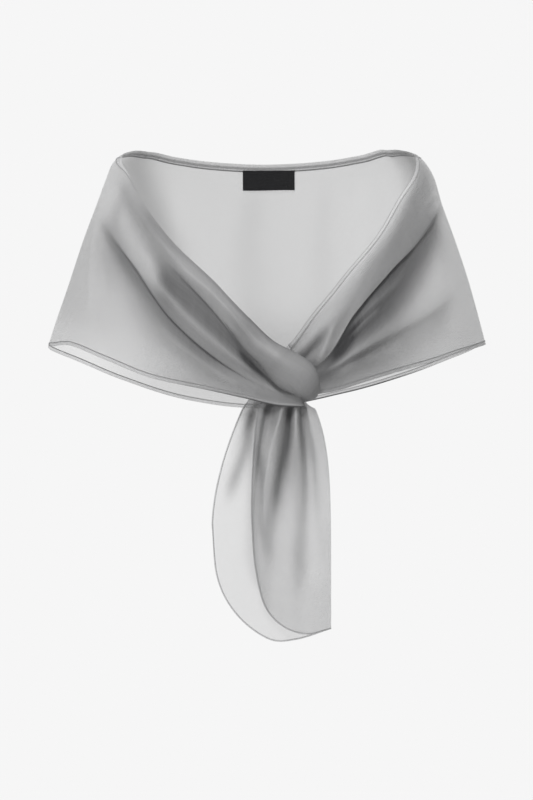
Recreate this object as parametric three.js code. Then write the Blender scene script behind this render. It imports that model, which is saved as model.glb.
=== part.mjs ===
// An evening stole of sheer organza, worn off the shoulders over an empty hollow.
// One strip of cloth runs round the arms and the back. Its left end is a loop at the front of
// the chest, and its right end is pulled through that loop and hangs as a folded tail.
// Millimetres, +Z up, the front faces -Y, and the origin is midway between the shoulder tops.
import * as THREE from "three";

// Driving dimensions
const WALL = 1.2; // thickness of the cloth
const SEAM_GAP = 0.3; // clear space where two stretches meet
const SIDE_ANGLE = 90; // the line down each arm where a front stretch meets the back
const SEAM_ANGLE = 0.12; // half of the gap at that line, in degrees round the hollow
const LEFT_END = 7.5; // where the left stretch stops under the loop, in degrees from the front
const RIGHT_END_TOP = 5.5; // the same for the right stretch, at its neck edge
const RIGHT_END_HEM = 9.5; // and at its hem
const KNOT_LIFT = 4; // how far the left hem stands off over the tail
const KNOT_SINK = 9; // how far the right stretch dips behind the left one
const TAIL_DEPTH = 143; // the tail hangs this far in front of the shoulder line
const LABEL = { width: 61, height: 23, thickness: 1, middle: 2, top: -16, clear: 0.5 };
const GRIDS = {
  fronts: 27, // columns from the arm to the knot
  back: { columns: 32, rows: 10, crowding: 1.6 }, // rows lie closer towards the neck
  loop: { columns: 30, rows: 10 },
  tail: { rows: 18, frontColumns: 16, bendColumns: 3, backColumns: 9 },
  label: { columns: 8, rows: 3 },
};

// The hollow inside the cloth: half widths to either side, and depths, at each height.
const HOLLOW = [
  { z: -300, left: 271, right: 271, front: 151, back: 137 },
  { z: -222, left: 251, right: 251.5, front: 150, back: 132 },
  { z: -150, left: 227, right: 232, front: 137, back: 126 },
  { z: -100, left: 208.5, right: 215.5, front: 123, back: 118 },
  { z: -60, left: 192.5, right: 201, front: 108, back: 109 },
  { z: -30, left: 181.5, right: 192, front: 91, back: 99 },
  { z: -12, left: 172.5, right: 181.5, front: 77, back: 91 },
  { z: 0, left: 160, right: 168, front: 66, back: 86 },
  { z: 10, left: 150, right: 156, front: 58, back: 82 },
];

// Heights of the two edges round the hollow; angle 0 is the front and -180 the middle of the back.
const LEFT_EDGES = [
  { angle: -90, top: -2, hem: -223 },
  { angle: -77, top: -8, hem: -220.5 },
  { angle: -62, top: -25, hem: -220 },
  { angle: -45, top: -65, hem: -237.5 },
  { angle: -30, top: -107, hem: -257 },
  { angle: -15, top: -152, hem: -270.5 },
  { angle: -5, top: -194, hem: -281 },
  { angle: 2, top: -221, hem: -288.5 },
  { angle: 8, top: -238, hem: -292 },
];
const RIGHT_EDGES = [
  { angle: 4, top: -229, hem: -279 },
  { angle: 7, top: -216.5, hem: -278 },
  { angle: 12, top: -189, hem: -275.5 },
  { angle: 18, top: -164, hem: -271 },
  { angle: 24, top: -142, hem: -266 },
  { angle: 34, top: -110, hem: -257.5 },
  { angle: 48, top: -58, hem: -245.5 },
  { angle: 60, top: -31, hem: -236 },
  { angle: 75, top: -7.5, hem: -227 },
  { angle: 90, top: -4.5, hem: -220.5 },
];
const BACK_EDGES = [
  { angle: -270, top: -4.5, hem: -220.5 },
  { angle: -255, top: 0.5, hem: -231 },
  { angle: -237, top: 6, hem: -245 },
  { angle: -220, top: 1.5, hem: -261 },
  { angle: -200, top: -6, hem: -279.5 },
  { angle: -180, top: -10, hem: -295 },
  { angle: -160, top: -7, hem: -287.5 },
  { angle: -140, top: -1, hem: -267.5 },
  { angle: -122, top: 4, hem: -245 },
  { angle: -108, top: 3, hem: -232 },
  { angle: -90, top: -2, hem: -223 },
];

// Folds that gather towards the knot. line gives the fold's place between neck edge (0) and hem
// (1) at the stations along the stretch; spread is its half width as a share of the cloth's
// height there; reach is how far the upper side laps over the lower, in spreads; rise is how far
// it stands out; it grows from begin to full, and loses the share fade beside the knot.
const STATIONS = [0, 0.3, 0.5, 0.65, 0.8, 0.9, 1];
const KNOT_FADE = { begin: 0.76, end: 0.95 };
const LEFT_FOLDS = [
  {
    line: [0.18, 0.2, 0.235, 0.238, 0.36, 0.56, 0.64],
    spread: 0.06, reach: 1.0, rise: 7, begin: 0.46, full: 0.72, fade: 0.9,
  },
  {
    line: [0.3, 0.347, 0.372, 0.522, 0.67, 0.755, 0.8],
    spread: 0.045, reach: 1.15, rise: 6, begin: 0.1, full: 0.3, fade: 0.75,
  },
];
const RIGHT_FOLDS = [
  {
    line: [0.12, 0.14, 0.17, 0.2, 0.25, 0.33, 0.5],
    spread: 0.06, reach: 0.6, rise: 4, begin: 0.76, full: 0.9, fade: 0.5,
  },
  {
    line: [0.27, 0.28, 0.3, 0.3, 0.39, 0.61, 0.74],
    spread: 0.048, reach: 1.05, rise: 6.5, begin: 0.08, full: 0.3, fade: 0.7,
  },
  {
    line: [0.68, 0.7, 0.735, 0.735, 0.74, 0.77, 0.88],
    spread: 0.07, reach: 0.5, rise: 4, begin: 0.2, full: 0.5, fade: 0.5,
  },
];
// Rows of the grid in each band between the neck edge, the folds and the hem.
const LEFT_ROWS = [8, 9, 11];
const RIGHT_ROWS = [4, 8, 10, 5];
// Small gathers beside the knot, and the neck edge rolled inwards.
const GATHERS = { begin: 0.7, count: 4, rise: 1.2 };
const LEFT_ROLL = { width: 16, depth: 7 };
const RIGHT_ROLL = { width: 9, depth: 3 };

// Soft hanging waves in the back: centre and half width in degrees, and how far each stands out.
const BACK_WAVES = [
  { angle: -106, width: 9, rise: 4 },
  { angle: -128, width: 10, rise: -5 },
  { angle: -152, width: 9, rise: 5 },
  { angle: -171, width: 8, rise: -5 },
  { angle: -189, width: 8, rise: 5 },
  { angle: -211, width: 10, rise: -5 },
  { angle: -236, width: 11, rise: 5 },
  { angle: -256, width: 8, rise: -4 },
];

// Ribs across the loop, from its start on the left stretch to its end tacked behind the knot:
// the ends of each rib at the upper and the lower edge, with depths in front of the shoulder
// line, and the crown by which the rib bows out between them.
const RIBS = [
  { upX: -27, upZ: -188, upDepth: 146, lowX: -39, lowZ: -212, lowDepth: 148, crown: 1 },
  { upX: -12, upZ: -204, upDepth: 150, lowX: -27, lowZ: -227, lowDepth: 155, crown: 4 },
  { upX: 6, upZ: -219, upDepth: 153, lowX: -13, lowZ: -241, lowDepth: 158, crown: 7 },
  { upX: 23, upZ: -228, upDepth: 155, lowX: -1, lowZ: -256, lowDepth: 158, crown: 10 },
  { upX: 40, upZ: -237, upDepth: 154, lowX: 12, lowZ: -270, lowDepth: 159, crown: 12 },
  { upX: 52, upZ: -247, upDepth: 152, lowX: 27, lowZ: -278, lowDepth: 159, crown: 12 },
  { upX: 58, upZ: -260, upDepth: 151, lowX: 38, lowZ: -283, lowDepth: 158, crown: 9 },
  { upX: 58, upZ: -272, upDepth: 149, lowX: 44, lowZ: -286, lowDepth: 154, crown: 5 },
  { upX: 56, upZ: -281, upDepth: 142, lowX: 46, lowZ: -286, lowDepth: 144, crown: 1 },
  { upX: 57, upZ: -272, upDepth: 128, lowX: 44, lowZ: -283, lowDepth: 130, crown: 1 },
  { upX: 52, upZ: -250, upDepth: 123, lowX: 30, lowZ: -266, lowDepth: 123, crown: 2 },
  { upX: 38, upZ: -232, upDepth: 123, lowX: 14, lowZ: -250, lowDepth: 123, crown: 2 },
];
// Where the loop lies on the left stretch: place along it at the first rib, the step from rib
// to rib, and the slant from the lower to the upper edge.
const LOOP_SEAT = { start: 0.843, step: 0.0365, slant: 0.02, lift: 2.3, from: 0.6, to: 3 };

// Lines of cloth down the tail, from the knot past the neck under the hem to the round end.
// share runs from the free edge to the fold on the front fall, and back from it on the back
// fall; spreadOut is how early a line reaches its full width.
const FRONT_FALL = [
  { share: 0, neckX: -11, x: -18, z: -415, spreadOut: 2.2 },
  { share: 0.2, neckX: 1, x: -14, z: -470, spreadOut: 2.2 },
  { share: 0.4, neckX: 14, x: -3, z: -515, spreadOut: 2.2 },
  { share: 0.6, neckX: 28, x: 17, z: -538, spreadOut: 2.4 },
  { share: 0.8, neckX: 42, x: 44, z: -547, spreadOut: 3 },
  { share: 1, neckX: 54, x: 71.5, z: -541, spreadOut: 6 },
];
const BACK_FALL = [
  { share: 0, neckX: 54, x: 71.5, z: -541, spreadOut: 6 },
  { share: 0.2, neckX: 34, x: 34, z: -553, spreadOut: 3 },
  { share: 0.4, neckX: 16, x: 2, z: -553, spreadOut: 2.2 },
  { share: 0.6, neckX: 0, x: -34, z: -526, spreadOut: 2 },
  { share: 0.8, neckX: -14, x: -56, z: -485, spreadOut: 1.8 },
  { share: 1, neckX: -28, x: -62, z: -425, spreadOut: 1.7 },
];
const TAIL_NECK = -295; // height just under the hem where the tail comes into view
const TAIL_NECK_SHARE = 0.16; // the part of each line that is hidden above it
const TAIL_BEND = { share: 0.17, half: 3.4 }; // the rounded fold down the tail's right side
const TAIL_OPENING = 9; // how much further apart the two falls lie at their free edges
const TAIL_PINCH = 0.7; // the share of that space left where the loop holds the falls
const TAIL_TURN_IN = 3; // how late the tail's right side leaves the line it comes in on
const TAIL_GATHER_START = 0.3; // the hidden part where the gathers begin
const BACK_FALL_GATHER = 0.2; // the share of the gathers that shows in the back fall
// Gathers in the tail: place on the front fall at the neck and at the hem, half width as a
// share, how far each stands out at the neck, and the part of it left at the hem.
const TAIL_FOLDS = [
  { neck: 0.13, hem: 0.08, width: 0.06, rise: -4, left: 0.05 },
  { neck: 0.32, hem: 0.16, width: 0.07, rise: 4.5, left: 0.25 },
  { neck: 0.46, hem: 0.34, width: 0.06, rise: -4.5, left: 0.3 },
  { neck: 0.58, hem: 0.46, width: 0.06, rise: 4, left: 0.3 },
  { neck: 0.7, hem: 0.6, width: 0.06, rise: -4, left: 0.35 },
  { neck: 0.86, hem: 0.84, width: 0.08, rise: 3, left: 0.4 },
];

const CLOTH = { color: 0xa9a9ab, roughness: 0.45, metalness: 0 };
const LABEL_CLOTH = { color: 0x141416, roughness: 0.75, metalness: 0 };

// Small tools for numbers, tables and surfaces

const mix = THREE.MathUtils.lerp;
const radians = THREE.MathUtils.degToRad;

/** A smooth step from 0 at begin to 1 at end. */
const ease = (x, begin, end) => THREE.MathUtils.smoothstep(x, begin, end);

/** A smooth curve through pairs of numbers, level past both ends. */
function curveThrough(xs, ys) {
  const last = xs.length - 1;
  const slopes = xs.map((_, i) => {
    const a = Math.max(i - 1, 0);
    const b = Math.min(i + 1, last);
    return (ys[b] - ys[a]) / (xs[b] - xs[a]);
  });
  return (x) => {
    let i = 0;
    while (i < last - 1 && x > xs[i + 1]) i += 1;
    const span = xs[i + 1] - xs[i];
    const t = THREE.MathUtils.clamp((x - xs[i]) / span, 0, 1);
    const rest = 1 - t;
    return (
      ys[i] * rest * rest * (1 + 2 * t) +
      slopes[i] * span * t * rest * rest +
      ys[i + 1] * t * t * (1 + 2 * rest) -
      slopes[i + 1] * span * t * t * rest
    );
  };
}

/** Curves for the named columns of a table, along its column at. */
function columns(rows, at, names) {
  const xs = rows.map((row) => row[at]);
  return Object.fromEntries(
    names.map((name) => [name, curveThrough(xs, rows.map((row) => row[name]))]),
  );
}

/** Evenly spaced numbers from 0 to 1. */
const steps = (count) => Array.from({ length: count + 1 }, (_, i) => i / count);

/** The normal of a surface point(a, b), from small steps along both of its parameters. */
function normalOf(point, a, b, stepA, stepB) {
  const alongA = point(a + stepA, b).sub(point(a - stepA, b));
  const alongB = point(a, b + stepB).sub(point(a, b - stepB));
  return alongA.cross(alongB).normalize();
}

/** A closed wall of cloth on a grid of points, half its thickness to either side of them. */
function wallGeometry(grid, thickness) {
  const rows = grid.length;
  const cols = grid[0].length;
  const at = (r, c) =>
    grid[THREE.MathUtils.clamp(r, 0, rows - 1)][THREE.MathUtils.clamp(c, 0, cols - 1)];
  const sides = [[], []];
  for (let r = 0; r < rows; r += 1) {
    for (let c = 0; c < cols; c += 1) {
      const across = at(r, c + 1).clone().sub(at(r, c - 1));
      const down = at(r + 1, c).clone().sub(at(r - 1, c));
      const offset = across.cross(down).normalize().multiplyScalar(thickness / 2);
      sides[0].push(at(r, c).clone().add(offset));
      sides[1].push(at(r, c).clone().sub(offset));
    }
  }
  const points = [...sides[0], ...sides[1]];
  const count = rows * cols;
  const faces = [];
  const quad = (a, b, c, d) => faces.push(a, b, c, a, c, d);
  for (let r = 0; r < rows - 1; r += 1) {
    for (let c = 0; c < cols - 1; c += 1) {
      const i = r * cols + c;
      quad(i, i + 1, i + cols + 1, i + cols);
      quad(count + i, count + i + cols, count + i + cols + 1, count + i + 1);
    }
  }
  const rim = [];
  for (let c = 0; c < cols - 1; c += 1) rim.push(c);
  for (let r = 0; r < rows - 1; r += 1) rim.push(r * cols + cols - 1);
  for (let c = cols - 1; c > 0; c -= 1) rim.push((rows - 1) * cols + c);
  for (let r = rows - 1; r > 0; r -= 1) rim.push(r * cols);
  rim.forEach((a, i) => {
    const b = rim[(i + 1) % rim.length];
    quad(b, a, count + a, count + b);
  });
  const geometry = new THREE.BufferGeometry().setFromPoints(points);
  geometry.setIndex(faces);
  geometry.computeVertexNormals();
  return geometry;
}

/** A named mesh of cloth on a grid whose rows run so that the wall's faces point out. */
function clothMesh(name, grid, thickness, look) {
  const mesh = new THREE.Mesh(
    wallGeometry(grid, thickness),
    new THREE.MeshStandardMaterial(look),
  );
  mesh.name = name;
  return mesh;
}

// The hollow that the cloth lies on

const hollow = columns(HOLLOW, "z", ["left", "right", "front", "back"]);

/** A point on the hollow at an angle from the front, in degrees, and a height. */
function hollowPoint(angle, z) {
  const turn = radians(angle);
  const sine = Math.sin(turn);
  const cosine = Math.cos(turn);
  const halfWidth = sine < 0 ? hollow.left(z) : hollow.right(z);
  const depth = cosine > 0 ? hollow.front(z) : hollow.back(z);
  return new THREE.Vector3(halfWidth * sine, -depth * cosine, z);
}

/** The outward direction of the hollow at an angle and a height. */
const hollowNormal = (angle, z) => normalOf(hollowPoint, angle, z, 0.5, 1);

// Front stretches

/** The pull of one fold on the cloth: a lap along the surface and a rise off it. */
function foldPull(fold, along, place) {
  const x = (place - fold.line(along)) / fold.spread;
  const strength =
    ease(along, fold.begin, fold.full) *
    (1 - fold.fade * ease(along, KNOT_FADE.begin, KNOT_FADE.end));
  const bend = -x * Math.exp((1 - x * x) / 2) * strength;
  return { lap: bend * strength * fold.reach * fold.spread, rise: bend * fold.rise };
}

/** Makes the surface of a front stretch, from the arm (along 0) to the knot (along 1). */
function frontStretch({ edges, folds, roll, angleAt, sink, lift }) {
  const edge = columns(edges, "angle", ["top", "hem"]);
  return (along, place) => {
    const angle = angleAt(along, place);
    const top = edge.top(angle);
    const height = top - edge.hem(angle);
    const nearKnot = ease(along, GATHERS.begin, 1);
    const fromEdge = Math.max(0, 1 - (place * height) / roll.width);
    let lap = 0;
    let rise = -roll.depth * fromEdge * fromEdge * ease(along, 0, STATIONS[1]) * (1 - nearKnot);
    for (const fold of folds) {
      const pull = foldPull(fold, along, place);
      lap += pull.lap;
      rise += pull.rise;
    }
    rise += GATHERS.rise * nearKnot * Math.sin(2 * Math.PI * GATHERS.count * place);
    rise += nearKnot * (lift * place - sink);
    const z = top - height * (place + lap);
    return hollowPoint(angle, z).addScaledVector(hollowNormal(angle, z), rise);
  };
}

/** Turns a fold's stations into a curve along the stretch. */
const withLine = (fold) => ({ ...fold, line: curveThrough(STATIONS, fold.line) });

const leftFolds = LEFT_FOLDS.map(withLine);
const rightFolds = RIGHT_FOLDS.map(withLine);

const leftPoint = frontStretch({
  edges: LEFT_EDGES,
  folds: leftFolds,
  roll: LEFT_ROLL,
  angleAt: (along) => mix(-SIDE_ANGLE + SEAM_ANGLE, LEFT_END, along),
  sink: 0,
  lift: KNOT_LIFT,
});
const rightPoint = frontStretch({
  edges: RIGHT_EDGES,
  folds: rightFolds,
  roll: RIGHT_ROLL,
  angleAt: (along, place) =>
    mix(SIDE_ANGLE - SEAM_ANGLE, mix(RIGHT_END_TOP, RIGHT_END_HEM, place), along),
  sink: KNOT_SINK,
  lift: 0,
});

/** Places between neck edge and hem at one station, closer together beside each fold. */
function placesAt(along, folds, rowCounts) {
  const marks = [0, ...folds.map((fold) => fold.line(along)), 1];
  const places = [0];
  rowCounts.forEach((count, band) => {
    for (let i = 1; i <= count; i += 1) {
      const share = (1 - Math.cos((Math.PI * i) / count)) / 2;
      places.push(mix(marks[band], marks[band + 1], share));
    }
  });
  return places;
}

/** The grid of a front stretch, with a row down each line of cloth. */
function frontGrid(point, folds, rowCounts) {
  const byColumn = steps(GRIDS.fronts).map((along) =>
    placesAt(along, folds, rowCounts).map((place) => point(along, place)),
  );
  return byColumn[0].map((_, row) => byColumn.map((column) => column[row]));
}

// Back stretch

const backEdge = columns(BACK_EDGES, "angle", ["top", "hem"]);

/** A point on the back, from the left arm (along 0) to the right arm, at a place down it. */
function backPoint(along, place) {
  const start = -SIDE_ANGLE - SEAM_ANGLE;
  const end = -360 + SIDE_ANGLE + SEAM_ANGLE;
  const angle = mix(start, end, along);
  const z = mix(backEdge.top(angle), backEdge.hem(angle), place);
  let rise = 0;
  for (const wave of BACK_WAVES) {
    const x = (angle - wave.angle) / wave.width;
    rise += wave.rise * Math.exp(-x * x) * ease(place, 0, 1);
  }
  return hollowPoint(angle, z).addScaledVector(hollowNormal(angle, z), rise);
}

// Loop

const ribNames = ["upX", "upZ", "upDepth", "lowX", "lowZ", "lowDepth", "crown"];
const rib = columns(RIBS.map((row, index) => ({ ...row, index })), "index", ribNames);
const ribEnds = (index) => ({
  up: new THREE.Vector3(rib.upX(index), -rib.upDepth(index), rib.upZ(index)),
  low: new THREE.Vector3(rib.lowX(index), -rib.lowDepth(index), rib.lowZ(index)),
});

/** A point on the free part of the loop; across runs from the lower edge (0) to the upper. */
function bandPoint(index, across) {
  const here = ribEnds(index);
  const before = ribEnds(index - 0.2);
  const after = ribEnds(index + 0.2);
  const path = after.up.add(after.low).sub(before.up).sub(before.low);
  const width = here.up.clone().sub(here.low);
  const outward = path.cross(width).normalize();
  const bow = rib.crown(index) * 4 * across * (1 - across);
  return here.low.addScaledVector(width, across).addScaledVector(outward, bow);
}

/** A point just off the left stretch, under the start of the loop. */
function seatPoint(index, across) {
  const middle = LOOP_SEAT.start + LOOP_SEAT.step * index;
  const along = Math.min(1, middle + LOOP_SEAT.slant * (2 * across - 1));
  const lowest = leftFolds[0].line(along) - leftFolds[0].spread;
  const place = mix(lowest, 0, across);
  const normal = normalOf(leftPoint, along, place, -0.002, 0.01);
  return leftPoint(along, place).addScaledVector(normal, LOOP_SEAT.lift);
}

/** A point on the loop, which rises off the left stretch into the free band. */
function loopPoint(along, across) {
  const index = along * (RIBS.length - 1);
  const free = ease(index, LOOP_SEAT.from, LOOP_SEAT.to);
  return seatPoint(Math.min(index, LOOP_SEAT.to), across).lerp(bandPoint(index, across), free);
}

// Tail

const fallNames = ["neckX", "x", "z", "spreadOut"];
const frontFall = columns(FRONT_FALL, "share", fallNames);
const backFall = columns(BACK_FALL, "share", fallNames);

/** The height of the gathers at a share of the front fall and a share of the way down. */
function tailGather(share, down) {
  let rise = 0;
  for (const fold of TAIL_FOLDS) {
    const x = (share - mix(fold.neck, fold.hem, down)) / fold.width;
    rise += fold.rise * mix(1, fold.left, down) * Math.exp(-x * x);
  }
  return rise;
}

/** A point on one fall of the tail; side is -1 for the front fall and 1 for the back one. */
function tailPoint(fall, share, side, apart, down) {
  const place = fall === frontFall ? share : 1 - share;
  const end = rightPoint(1, place);
  const ahead = end.clone().sub(rightPoint(0.99, place)).normalize();
  const start = end.addScaledVector(ahead, SEAM_GAP + WALL / 2);
  const neckX = fall.neckX(share);
  const hidden = Math.min(1, down / TAIL_NECK_SHARE);
  const shown = Math.max(0, (down - TAIL_NECK_SHARE) / (1 - TAIL_NECK_SHARE));
  const turnIn = mix(1, TAIL_TURN_IN, place);
  const out = 1 - (1 - shown) ** fall.spreadOut(share);
  const x = shown > 0
    ? mix(neckX, fall.x(share), out)
    : mix(start.x, neckX, hidden ** turnIn);
  const z = shown > 0 ? mix(TAIL_NECK, fall.z(share), shown) : mix(start.z, TAIL_NECK, hidden);
  const gather = tailGather(place, shown) * ease(hidden, TAIL_GATHER_START, 1);
  const depth = mix(-start.y, TAIL_DEPTH, hidden) + gather * (side < 0 ? 1 : BACK_FALL_GATHER);
  return new THREE.Vector3(x, -depth + side * apart * mix(TAIL_PINCH, 1, hidden), z);
}

/** The tail's grid, from the free edge of the front fall round the bend to that of the back. */
function tailGrid() {
  const { rows, frontColumns, bendColumns, backColumns } = GRIDS.tail;
  const flat = 1 - TAIL_BEND.share;
  const lines = [];
  for (const i of steps(frontColumns)) {
    lines.push({ fall: frontFall, share: i * flat, side: -1, apart: TAIL_BEND.half });
  }
  for (const i of steps(bendColumns).slice(1)) {
    const turn = (i * Math.PI) / 2;
    const share = flat + TAIL_BEND.share * Math.sin(turn);
    lines.push({ fall: frontFall, share, side: -1, apart: TAIL_BEND.half * Math.cos(turn) });
  }
  for (const i of steps(bendColumns).slice(1)) {
    const turn = (i * Math.PI) / 2;
    const share = TAIL_BEND.share * (1 - Math.cos(turn));
    lines.push({ fall: backFall, share, side: 1, apart: TAIL_BEND.half * Math.sin(turn) });
  }
  for (const i of steps(backColumns).slice(1)) {
    const share = TAIL_BEND.share + i * flat;
    lines.push({ fall: backFall, share, side: 1, apart: TAIL_BEND.half + TAIL_OPENING * i * i });
  }
  return steps(rows).map((down) =>
    lines.map(({ fall, share, side, apart }) => tailPoint(fall, share, side, apart, down)),
  );
}

// Label

/** The label's grid, on the inner face of the back. */
function labelGrid() {
  const inset = WALL / 2 + LABEL.clear + LABEL.thickness / 2;
  const middleAngle = -2 * SIDE_ANGLE;
  const backAlong = (angle) =>
    (angle + SIDE_ANGLE + SEAM_ANGLE) / (-2 * (SIDE_ANGLE - SEAM_ANGLE));
  return steps(GRIDS.label.rows).map((down) => {
    const z = LABEL.top - down * LABEL.height;
    return steps(GRIDS.label.columns).map((across) => {
      const x = LABEL.middle + (across - 0.5) * LABEL.width;
      const halfWidth = x < 0 ? hollow.left(z) : hollow.right(z);
      const angle = middleAngle - THREE.MathUtils.radToDeg(Math.asin(x / halfWidth));
      const top = backEdge.top(angle);
      const place = (z - top) / (backEdge.hem(angle) - top);
      return backPoint(backAlong(angle), place).addScaledVector(
        hollowNormal(angle, z),
        -inset,
      );
    });
  });
}

// The stole

const turned = (grid) => grid.map((row) => [...row].reverse());
const gridOf = (point, { columns: across, rows, crowding = 1 }) =>
  steps(rows).map((down) => steps(across).map((along) => point(along, down ** crowding)));

const stole = new THREE.Group();
stole.add(
  clothMesh("back", turned(gridOf(backPoint, GRIDS.back)), WALL, CLOTH),
  clothMesh("left_front", turned(frontGrid(leftPoint, leftFolds, LEFT_ROWS)), WALL, CLOTH),
  clothMesh("right_front", frontGrid(rightPoint, rightFolds, RIGHT_ROWS), WALL, CLOTH),
  clothMesh("loop", gridOf(loopPoint, GRIDS.loop), WALL, CLOTH),
  clothMesh("tail", turned(tailGrid()), WALL, CLOTH),
  clothMesh("label", labelGrid(), LABEL.thickness, LABEL_CLOTH),
);

export default stole;
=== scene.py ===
"""Dresses an evening stole of sheer grey organza, worn off the shoulders with nobody in it.

One strip of cloth runs round the arms and the back. Its left end rises into a loop at the
chest, and its right end is pulled through that loop and hangs as a folded tail. Each sheet is
a surface worked out over an empty hollow and finished with narrow hems, stitches and a bare
woven label. Sizes are millimetres in the stole's own frame, with +Z up and the front towards
-Y, and they turn into metres where a mesh is made.
"""

from __future__ import annotations

import logging
from collections.abc import Callable, Sequence
from dataclasses import dataclass
from enum import Enum
from functools import cached_property

import bpy
import numpy as np
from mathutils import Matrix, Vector

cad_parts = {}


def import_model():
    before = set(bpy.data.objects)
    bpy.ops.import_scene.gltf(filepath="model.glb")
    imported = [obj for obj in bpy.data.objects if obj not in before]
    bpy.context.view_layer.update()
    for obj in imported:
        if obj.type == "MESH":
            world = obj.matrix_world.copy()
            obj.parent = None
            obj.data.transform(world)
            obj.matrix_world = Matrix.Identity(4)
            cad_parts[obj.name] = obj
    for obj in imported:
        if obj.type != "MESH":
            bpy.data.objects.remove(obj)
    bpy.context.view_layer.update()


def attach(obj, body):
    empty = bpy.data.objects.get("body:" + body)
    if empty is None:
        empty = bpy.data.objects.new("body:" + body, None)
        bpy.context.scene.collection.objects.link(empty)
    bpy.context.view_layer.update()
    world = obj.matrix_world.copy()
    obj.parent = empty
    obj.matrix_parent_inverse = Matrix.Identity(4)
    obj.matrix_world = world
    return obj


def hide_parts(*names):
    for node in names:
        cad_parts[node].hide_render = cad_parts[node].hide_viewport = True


LOG = logging.getLogger("stole")
BODY = "root"
MM = 0.001
Array = np.ndarray
Flat = Callable[[Array, Array], Array]


class Slot(Enum):
    """The record's material slots."""

    ORGANZA = "organza"
    LABEL_TAPE = "label_tape"


class Hold(Enum):
    """How a sheet of cloth is held."""

    DRAPED = "draped"
    HUNG = "hung"
    LAID = "laid"


# Numbers and curves


def mix(a: Array | float, b: Array | float, t: Array | float) -> Array:
    """Returns the value a share t of the way from a to b."""
    return a + (b - a) * np.asarray(t, float)


def smooth(x: Array | float, begin: float, end: float) -> Array:
    """Returns a smooth step of x, 0 up to begin and 1 from end: 3t^2 - 2t^3 between them."""
    t = np.clip((np.asarray(x, float) - begin) / (end - begin), 0, 1)
    return t * t * (3 - 2 * t)


def unit(vectors: Array) -> Array:
    """Returns the vectors at length 1."""
    return vectors / np.maximum(np.linalg.norm(vectors, axis=-1, keepdims=True), 1e-12)


class Curve:
    """A smooth curve through points, level past both ends.

    Between two points it is the cubic that meets both, with the slope at each point taken from
    the line between its two neighbours.
    """

    def __init__(self, xs: Sequence[float], ys: Sequence[float]) -> None:
        """Works out the slopes at the points.

        Args:
            xs: rising places of the points.
            ys: their values.
        """
        self.xs = np.asarray(xs, float)
        self.ys = np.asarray(ys, float)
        before = np.maximum(np.arange(len(xs)) - 1, 0)
        after = np.minimum(np.arange(len(xs)) + 1, len(xs) - 1)
        self.slopes = (self.ys[after] - self.ys[before]) / (self.xs[after] - self.xs[before])

    def __call__(self, x: Array | float) -> Array:
        """Returns the curve's values at x."""
        x = np.asarray(x, float)
        i = np.searchsorted(self.xs[1:-1], x, side="left")
        span = self.xs[i + 1] - self.xs[i]
        t = np.clip((x - self.xs[i]) / span, 0, 1)
        rest = 1 - t
        ends = self.ys[i] * rest**2 * (1 + 2 * t) + self.ys[i + 1] * t**2 * (1 + 2 * rest)
        return ends + span * t * rest * (self.slopes[i] * rest - self.slopes[i + 1] * t)


def column_curve(rows: Sequence[object], at: str, name: str) -> Curve:
    """Makes a curve of one column of a table.

    Args:
        rows: the table's rows.
        at: the column that the curve runs along.
        name: the column that gives its values.

    Returns:
        The curve.
    """
    return Curve([getattr(row, at) for row in rows], [getattr(row, name) for row in rows])


# Surfaces and meshes


def grid_index(rows: int, columns: int, first: int = 0) -> Array:
    """Returns the numbers of a grid's points, row by row from first."""
    return first + np.arange(rows * columns).reshape(rows, columns)


def grid_quads(index: Array) -> Array:
    """Returns the four-sided faces between neighbouring points of a grid of point numbers."""
    corners = (index[:-1, :-1], index[1:, :-1], index[1:, 1:], index[:-1, 1:])
    return np.stack(corners, axis=-1).reshape(-1, 4)


def tube_quads(rings: int, sides: int) -> Array:
    """Gives the faces of a closed tube, whose ends are laid with faces from side to side.

    Args:
        rings: rings of points along the tube.
        sides: points of a ring, an even number.

    Returns:
        The faces as four point numbers.
    """
    index = grid_index(rings, sides)
    quads = grid_quads(np.concatenate([index, index[:, :1]], axis=1))
    pair = np.arange(sides // 2 - 1)
    cap = np.stack([pair, pair + 1, sides - 2 - pair, sides - 1 - pair], axis=-1)
    return np.concatenate([quads, cap, (cap + index[-1, 0])[:, ::-1]])


def arc_lengths(points: Array, axis: int) -> Array:
    """Returns how far each point of a grid lies along its row (axis 1) or column (axis 0)."""
    steps = np.linalg.norm(np.diff(points, axis=axis), axis=-1)
    start = np.zeros_like(np.take(steps, [0], axis=axis))
    return np.concatenate([start, np.cumsum(steps, axis=axis)], axis=axis)


def grid_normals(points: Array) -> Array:
    """Returns the normals of a grid: its slope down the columns crossed with that along rows."""
    return unit(np.cross(np.gradient(points, axis=0), np.gradient(points, axis=1)))


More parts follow.
